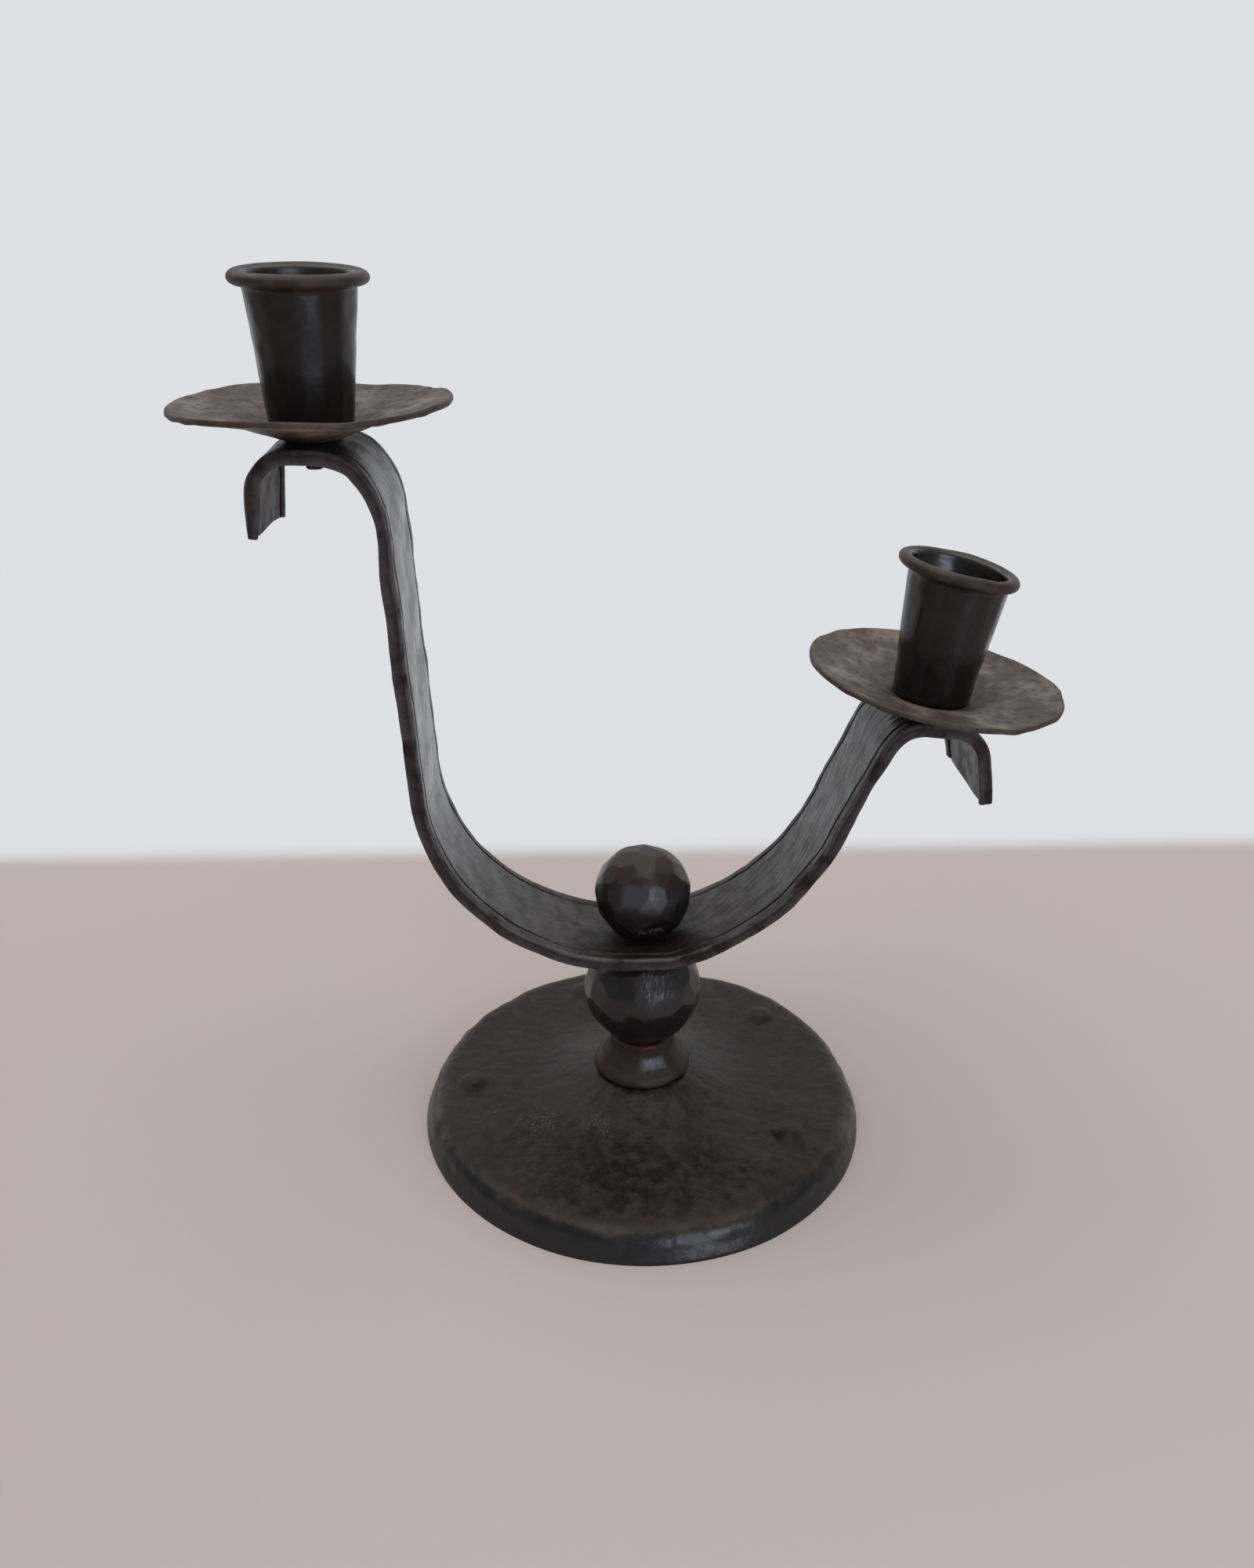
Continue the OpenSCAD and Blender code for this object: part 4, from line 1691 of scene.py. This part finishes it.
    def masks(self, outline: Array, points: Array) -> dict[Mask, Array]:
        """Makes the masks of the edges, which also carry painted shade on the underside and at the crest, of
        the corners, worn and with a painted highlight, and of the scored lines, strokes and rust.

        Args:
            outline: the bar's outline across its width.
            points: grid of the bar's points.

        Returns:
            Value of each mask at each point.
        """
        half, thick = self.width / 2, self.thickness / 2
        side, level = np.abs(outline).T
        x, y, z = np.moveaxis(points, -1, 0)
        bite = self.edge_bite * self.upper_round
        from_corner = np.hypot(side - half + bite, level - thick + bite)
        from_line = side - half + self.score_inset
        edge = smooth(side, *(half - share * self.upper_round for share in self.edge_start))
        border = smooth(from_line, *self.border_start)
        # Painted shade on the underside and at the left crest under its pan, where the crest is also browner,
        # and a darkening towards the seat, all laid on with the edges' colour.
        under = np.where(x > 0, *self.under_shade) + self.under_border_shade * border * (outline[:, 0] < 0)
        seat = self.seat_dark * (1 - smooth(np.abs(x), *self.seat_reach))
        brown_and_shaded_crown = self.crown_brown_and_shade * (x < 0) * smooth(z, *(z.max() - drop for drop in self.crown_drop))
        upper = np.maximum(self.border_dark * border, np.maximum(seat, brown_and_shaded_crown))
        least, most = self.stroked
        joint = 1 - smooth(np.hypot(x, y), *self.rust_reach)
        joint = joint * smooth(-y, *self.rust_front) * (1 - smooth(x, *self.rust_right))
        return {
            Mask.EDGE: np.maximum(edge, np.where(outline[:, 1] < 0, under, upper)),
            # Worn corners, which also carry a painted highlight.
            Mask.WEAR: 1 - smooth(from_corner, *self.corner_wear_and_glint_reach),
            Mask.SCORE_AND_SHADE: 1 - smooth(np.abs(from_line) / self.score_w, *self.line_reach),
            Mask.SCUFF: least + (most - least) * smooth(x, *self.stroke_start),
            Mask.RUST: joint * (z > self.seat_z),
        }

    def dress(self, material: Material) -> tuple[Crest, Crest]:
        """Builds the strap and gives it its finish.

        Args:
            material: the strap's finish.

        Returns:
            The left and right crests.
        """
        piece, left_crest, right_crest = self.build()
        dress(piece, material, Body.ARMS, Slot.STRAP, "arm_strap")
        return left_crest, right_crest


@dataclass
class DripPan:
    """Shallow hammered pan with a well, a flatter brim and a thick, uneven edge.

    The pattern of its finish is turned on the pan, while its dents, tilt and peak stay where they are.
    """

    side: str
    crest: Crest
    seat: float = 1.55
    diameter: float = 71.0
    sheet: float = 1.2
    lip: float = 1.5
    lip_start: Span = (3.0, 0.5)
    lip_turn: float = 60.0
    lip_steps: int = 5
    floor_d: float = 15.0
    floor_round: float = 6.0
    floor_edge: float = 2.0
    well_d: float = 40.0
    well_h: float = 5.0
    well_edge: float = 4.0
    brim_round: float = 20.0
    rise: float = 8.0
    hole_d: float = 4.6
    tilt: Span = (0.0, 0.0)
    peak: float = 0.0
    peak_reach: float = 32.0
    turned: float = 0.0
    edge_runs: tuple[Runs, Runs] = (Runs(8, 0.25, 0), Runs(24, 0.3, 1))
    lifts: Runs = Runs(9, 0.16, 2)
    warp: Wave = Wave(46, 0.35, 3)
    dents: Blows = Blows(80, (6, 13), (0.1, 0.4), 4)
    dark_depth: Span = (0.08, 0.3)
    brown_start: Span = (1.6, 0.4)
    spacing: float = 0.8
    columns: int = 288
    seed: int = 1

    def loop(self) -> Array:
        """Draws the pan's outline: out below, round the edge and back above.

        Returns:
            Closed outline as radius and height.
        """
        edge_r = self.diameter / 2 - self.lip / 4
        corners = [
            (self.hole_d / 2, 0, 0),
            (self.floor_d / 2, 0, self.floor_round),
            (self.well_d / 2, self.well_h, self.brim_round),
            (edge_r, self.rise, 0),
        ]
        lower = even(rounded(corners), self.spacing)
        start, end = (edge_r - inset for inset in self.lip_start)
        thick = self.sheet + (self.lip - self.sheet) * smooth(lower[:, 0], start, end)
        upper = lower + left_of(lower) * thick[:, None]
        turns = np.radians(np.linspace(-self.lip_turn, self.lip_turn, self.lip_steps))[:, None]
        across = (upper[-1] - lower[-1]) / 2
        outward = np.array([across[1], -across[0]]) / 2
        edge = (lower[-1] + upper[-1]) / 2 + outward * np.cos(turns) + across * np.sin(turns)
        return np.concatenate([lower, edge, upper[::-1]])

    def build(self) -> Piece:
        """Spins the sheet and hammers its brim.

        Returns:
            The pan.
        """
        edge_r, well_r = self.diameter / 2, self.well_d / 2
        points, angles, radius = spin(self.loop(), self.columns)
        brim = smooth(radius, well_r - self.well_edge, edge_r)
        free = smooth(radius, self.floor_d / 2 + self.floor_edge, well_r)
        out = sum(runs.around(angles, edge_r, self.seed) for runs in self.edge_runs)
        out = out + self.peak * smooth(np.cos(angles), math.cos(math.radians(self.peak_reach)), 1)
        lift = self.lifts.around(angles, edge_r, self.seed)
        warp = self.warp.at(points, self.seed)
        dents = self.dents.driven(points, radius * free, self.seed)
        lean_x, lean_y = (math.tan(math.radians(a)) for a in self.tilt)
        points[..., :2] *= (1 + brim * out / edge_r)[..., None]
        points[..., 2] += self.seat + brim * (lift + warp) - free * dents
        points[..., 2] += free * (lean_x * points[..., 0] + lean_y * points[..., 1])
        edge = smooth(radius, *(edge_r - inset for inset in self.brown_start))
        masks = {Mask.EDGE: edge, Mask.SCUFF: free * smooth(dents, *self.dark_depth)}
        turn = Matrix.Rotation(math.radians(self.turned), 4, "Z")
        points[..., :2] = points[..., :2] @ np.array(turn.to_2x2())
        return Grid(points, masks=masks).piece(f"{self.side}_pan", self.crest.place() @ turn)

    def dress(self, material: Material) -> None:
        """Builds the pan and gives it its finish."""
        dress(self.build(), material, Body.ARMS, Slot.PAN, f"{self.side}_drip_pan")


@dataclass
class CandleSocket:
    """Tapered socket of rolled sheet iron with upright flats and a rolled rim."""

    side: str
    crest: Crest
    floor_z: float = 3.57
    height: float = 37.0
    foot_d: float = 21.6
    mouth_d: float = 28.6
    wall: float = 1.2
    bottom_round: float = 2.0
    bead_w: float = 3.7
    bead_h: float = 3.4
    bead_turns: Span = (-100.0, 180.0)
    bead_steps: int = 28
    hole_d: float = 4.6
    lean: Span = (0.0, 0.0)
    lean_start: Span = (2.0, 12.0)
    rim_tilt: Span = (0.0, 0.0)
    rim_shift: float = 0.0
    rim_drop: float = 1.0
    wall_start: float = 3.0
    flat_count: int = 14
    flat_half: Span = (4.0, 10.0)
    flat_crisp: float = 60.0
    sways: tuple[Runs, Runs] = (Runs(8, 0.3, 1), Runs(30, 0.3, 2))
    dips: Runs = Runs(13, 0.25, 3)
    dents: Blows = Blows(60, (6, 11), (0.06, 0.3), 4)
    least_chance: float = 0.01
    worn_share: float = 0.6
    inner: Span = (-0.8, -0.2)
    spacing: float = 0.8
    columns: int = 224
    seed: int = 1

    def loop(self) -> Array:
        """Draws the socket's outline: out along the floor, up, round the rim and down inside.

        Returns:
            Closed outline as radius and height.
        """
        corners = [
            (self.hole_d / 2, 0, 0),
            (self.foot_d / 2, 0, self.bottom_round),
            (self.mouth_d / 2, self.height, 0),
        ]
        outer = even(rounded(corners), self.spacing)
        inner = outer + left_of(outer) * self.wall
        middle = np.array([self.mouth_d / 2 - self.wall + self.bead_w / 2, self.height])
        turns = np.radians(np.linspace(*self.bead_turns, self.bead_steps))
        bead = middle + np.stack([self.bead_w / 2 * np.cos(turns), self.bead_h / 2 * np.sin(turns)], axis=1)
        outer = outer[outer[:, 1] < bead[0, 1] - self.spacing / 2]
        inner = inner[inner[:, 1] < bead[-1, 1] - self.spacing / 2]
        return np.concatenate([outer, bead, inner[::-1]])

    def build(self) -> Piece:
        """Spins the outline, hammers its flats and leans it on its pan.

        Returns:
            The socket.
        """
        points, angles, radius = spin(self.loop(), self.columns)
        level = points[..., 2].copy()
        mouth_r = self.mouth_d / 2
        on_rim = smooth(level, self.height - self.bead_h, self.height - self.rim_drop)
        wall = smooth(level, 0, self.wall_start) * (1 - on_rim)
        shape = Flats.scattered(self.flat_count, self.flat_half, self.flat_crisp, self.seed).shape(angles)
        sway = sum(runs.around(angles, mouth_r, self.seed) for runs in self.sways)
        dip = self.dips.around(angles, mouth_r, self.seed)
        dents = self.dents.driven(points, radius * wall + self.least_chance, self.seed) * wall
        factor = 1 + (shape - 1) * wall + (on_rim * sway - dents) / np.maximum(radius, 1)
        points[..., :2] *= factor[..., None]
        lean_x, lean_y, tilt_x, tilt_y = (math.tan(math.radians(a)) for a in (*self.lean, *self.rim_tilt))
        stands = smooth(level, *self.lean_start)
        upper = smooth(level, self.height / 2, self.height)
        points[..., 2] += on_rim * dip - (lean_x * stands + tilt_x * upper) * points[..., 0]
        points[..., 2] += self.floor_z - (lean_y * stands - tilt_y * upper) * points[..., 1]
        points[..., 0] += lean_x * level + self.rim_shift * on_rim
        points[..., 1] += lean_y * level
        rim = on_rim * smooth(radius, mouth_r - self.worn_share * self.wall, mouth_r)
        skin = self.foot_d / 2 + (self.mouth_d - self.foot_d) / 2 * np.minimum(level / self.height, 1)
        inner = (1 - smooth((radius - skin) / self.wall, *self.inner)) * (1 - rim)
        masks = {Mask.WEAR: rim, Mask.EDGE: inner}
        return Grid(points, masks=masks).piece(f"{self.side}_socket", self.crest.place())

    def dress(self, material: Material) -> None:
        """Builds the socket and gives it its finish."""
        dress(self.build(), material, Body.ARMS, Slot.SOCKET, f"{self.side}_candle_socket")


@dataclass
class Rivet:
    """Rivet with a domed head on the socket's floor and a tail peened over under the strap."""

    side: str
    crest: Crest
    shank_d: float = 4.5
    head_d: float = 9.0
    head_h: float = 1.8
    head_softness: float = 0.9
    head_z: float = 4.77
    tail_d: float = 7.0
    tail_h: float = 4.8
    tip_d: float = 4.4
    tip_round: float = 0.9
    middle_r: float = 0.3
    strap_t: float = 3.1
    ease: float = 1.0
    flat_count: int = 7
    flat_half: Span = (18.0, 26.0)
    flat_crisp: float = 40.0
    wave: Wave = Wave(5, 0.12, 1)
    spacing: float = 0.4
    columns: int = 48
    seed: int = 1

    def build(self) -> Piece:
        """Turns the rivet and hammers both ends.

        Returns:
            The rivet.
        """
        under, top = -self.strap_t / 2, self.head_z + self.head_h
        shank_r, head_r = self.shank_d / 2, self.head_d / 2
        corners = [
            (self.middle_r, under - self.tail_h, 0),
            (self.tip_d / 2, under - self.tail_h, self.tip_round),
            (self.tail_d / 2, under, 0),
            (shank_r, under, 0),
            (shank_r, self.head_z, 0),
            (head_r, self.head_z, 0),
            (head_r, top, self.head_h * self.head_softness),
            (self.middle_r, top, 0),
        ]
        points, angles, _ = spin(even(rounded(corners), self.spacing), self.columns)
        level = points[..., 2]
        tail = 1 - smooth(level, under - self.ease, under)
        ends = np.maximum(tail, smooth(level, self.head_z, self.head_z + self.ease))
        shape = Flats.scattered(self.flat_count, self.flat_half, self.flat_crisp, self.seed).shape(angles)
        points[..., :2] *= (1 + (shape - 1) * ends)[..., None]
        points[..., 2] += self.wave.at(points, self.seed) * ends
        clean = np.zeros(points.shape[:2])
        grid = Grid(points, closed_rows=False, masks={Mask.WEAR: clean, Mask.EDGE: clean})
        return grid.piece(f"{self.side}_rivet_set", self.crest.place())

    def dress(self, material: Material) -> None:
        """Builds the rivet and gives it its finish."""
        dress(self.build(), material, Body.ARMS, Slot.SOCKET, f"{self.side}_rivet")


@dataclass
class Clamp:
    """Tie rod, washer and nut inside the foot, which keep the shape of their solids."""

    nodes: tuple[str, ...] = ("tie_rod", "clamp_washer", "clamp_nut")

    def dress(self, material: Material) -> None:
        """Gives the solids their finish.

        Args:
            material: the finish.
        """
        for name in self.nodes:
            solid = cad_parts[name]
            solid.data.materials.clear()
            solid.data.materials.append(material)
            log.info("%s: solid kept", name)


class Lamp(NamedTuple):
    """A square soft lamp: its name, its place and side in metres, its power in watts and its hex colour."""

    name: str
    place: tuple[float, float, float]
    side: float
    power: float
    colour: str


@dataclass
class Studio:
    """Pale floor that sweeps up into a backdrop, soft lamps and the camera."""

    sweep_start: float = 900.0
    sweep_radius: float = 500.0
    sweep_step: float = 4.0
    half_width: float = 3000.0
    front: float = -3000.0
    height: float = 2500.0
    lamps: tuple[Lamp, ...] = (
        Lamp("window", (0.46, -1.0, 0.3), 0.55, 3.4, "#e4eeff"),
        Lamp("sky", (-0.1, 0.2, 1.9), 3.0, 38.0, "#fff9f2"),
    )
    lamp_target: tuple[float, float, float] = (0.0, 0.0, 0.1)
    sky_colour: str = "#dee0e4"
    sky_strength: float = 0.28
    camera_place: tuple[float, float, float] = (-15.06, -339.25, 277.57)
    camera_down: float = 25.40
    camera_right: float = 1.73
    focal_pixels: float = 1650.0
    frame_pixels: float = 2000.0
    sensor: float = 36.0

    def build(self) -> None:
        """Makes the floor, the lamps, the world and the camera."""
        self.sweep()
        for lamp in self.lamps:
            self.hang(lamp)
        self.world()
        self.camera()

    def sweep(self) -> None:
        """Makes the floor and backdrop as one bent sheet."""
        wall = self.sweep_start + self.sweep_radius
        corners = [(self.front, 0, 0), (wall, 0, self.sweep_radius), (wall, self.height, 0)]
        line = rounded(corners, self.sweep_step)
        mesh = bpy.data.meshes.new("floor")
        points = [(side * self.half_width * MM, y * MM, z * MM) for y, z in line for side in (-1, 1)]
        faces = [(2 * k, 2 * k + 1, 2 * k + 3, 2 * k + 2) for k in range(len(line) - 1)]
        mesh.from_pydata(points, [], faces)
        mesh.shade_smooth()
        floor = placed("floor", mesh)
        floor.data.materials.append(PaintedBoard("matt_painted_board").material())

    def hang(self, lamp: Lamp) -> None:
        """Hangs a lamp that faces the object.

        Args:
            lamp: the lamp.
        """
        light = bpy.data.lights.new(lamp.name, "AREA")
        light.size = lamp.side
        light.energy = lamp.power
        light.color = linear(lamp.colour)[:3]
        hung = placed(lamp.name, light)
        hung.location = lamp.place
        aim = Vector(self.lamp_target) - Vector(lamp.place)
        hung.rotation_euler = aim.to_track_quat("-Z", "Y").to_euler()

    def world(self) -> None:
        """Sets an even sky that looks pale where the camera sees past the backdrop."""
        world = bpy.data.worlds.new("studio")
        world.use_nodes = True
        tree = world.node_tree
        sky = tree.nodes["Background"]
        sky.inputs["Color"].default_value = linear(self.sky_colour)
        seen = add(tree, "ShaderNodeLightPath").outputs["Is Camera Ray"]
        tree.links.new(blended(tree, seen, self.sky_strength, 1.0), sky.inputs["Strength"])
        bpy.context.scene.world = world

    def camera(self) -> None:
        """Sets the camera at the photograph's place and angle."""
        lens = bpy.data.cameras.new("camera")
        lens.sensor_width = self.sensor
        lens.lens = self.focal_pixels / self.frame_pixels * self.sensor
        camera = placed("camera", lens)
        camera.location = Vector(self.camera_place) * MM
        camera.rotation_euler = (math.radians(90 - self.camera_down), 0, math.radians(-self.camera_right))
        bpy.context.scene.camera = camera


def balls() -> tuple[Ball, Ball]:
    """Sets out both balls, with the faces that catch the light from the front.

    Returns:
        The lower ball and the finial.
    """
    lower = Ball(
        name="lower_ball_forged",
        node="lower_ball",
        middle_z=46.51,
        diameter=36.2,
        seats=(-16.81, 16.81),
        wide_faces=(
            Face(14, 36, 13),
            Face(32, 18, 11),
            Face(-24, -20, 14),
            Face(-3, -20, 11),
            Face(17, -12, 13),
            Face(43, -7, 14),
        ),
        scuff=Spot(15, 33, 20, 17),
        seed=51,
    )
    finial = Ball(
        name="finial",
        node="finial_ball",
        middle_z=80.07,
        diameter=29.2,
        seats=(-13.64,),
        wide_faces=(
            Face(16, 25, 12),
            Face(6, 11, 13),
            Face(-25, -12, 16),
            Face(51, -4, 17),
            Face(14, -24, 16),
            Face(-14, 27, 19),
            Face(45, 30, 13),
        ),
        scuff=Spot(3, -25, 24, 4.5),
        scuffing=1.8,
        rubbed=Spot(-9, 24, 25, 16),
        blows=64,
        half=(12.0, 15.0),
        dulling=0.9,
        underside_shading=1.0,
        hole_ends=(-30.0, 3.96),
        seed=52,
    )
    return lower, finial


def holders(left: Crest, right: Crest) -> tuple[DripPan | CandleSocket | Rivet, ...]:
    """Sets out what each arm holds.

    Args:
        left: crest of the left arm.
        right: crest of the right arm.

    Returns:
        Pan, socket and rivet of the left arm, and then of the right one.
    """
    return (
        DripPan("left", left, rise=8.1, tilt=(0.8, -0.2), peak=1.2, seed=61),
        CandleSocket(
            "left", left, height=36.7, lean=(0.5, 0), rim_tilt=(0, 1.8), rim_shift=-0.3, bead_w=4.3, seed=69
        ),
        Rivet("left", left, seed=75),
        DripPan("right", right, diameter=72.0, tilt=(-0.8, 1.2), turned=180.0, seed=71),
        CandleSocket("right", right, lean=(1.4, 3.4), rim_tilt=(3.5, 3), rim_shift=-0.4, seed=79),
        Rivet("right", right, seed=75),
    )


def main() -> None:
    """Builds and dresses every sub-assembly, then sets the studio."""
    logging.basicConfig(level=logging.INFO, format="%(name)s: %(message)s")
    bpy.context.scene.view_settings.view_transform = "Standard"
    waxed = WaxedForgedIron("waxed_forged_iron").material()
    browned = BrownedPanIron("browned_sheet_iron").material()
    stoved = StovedSocketIron("oil_stoved_sheet_iron").material()
    Foot().dress(OiledSheetIron("oiled_sheet_iron").material())
    Collar().dress(waxed)
    for ball in balls():
        ball.dress(waxed)
    left_crest, right_crest = Strap().dress(WipedStrapIron("wiped_strap_iron").material())
    for piece in holders(left_crest, right_crest):
        piece.dress(browned if isinstance(piece, DripPan) else stoved)
    Clamp().dress(TurnedSteel("turned_mild_steel").material())
    Studio().build()


if __name__ == "__main__":
    main()
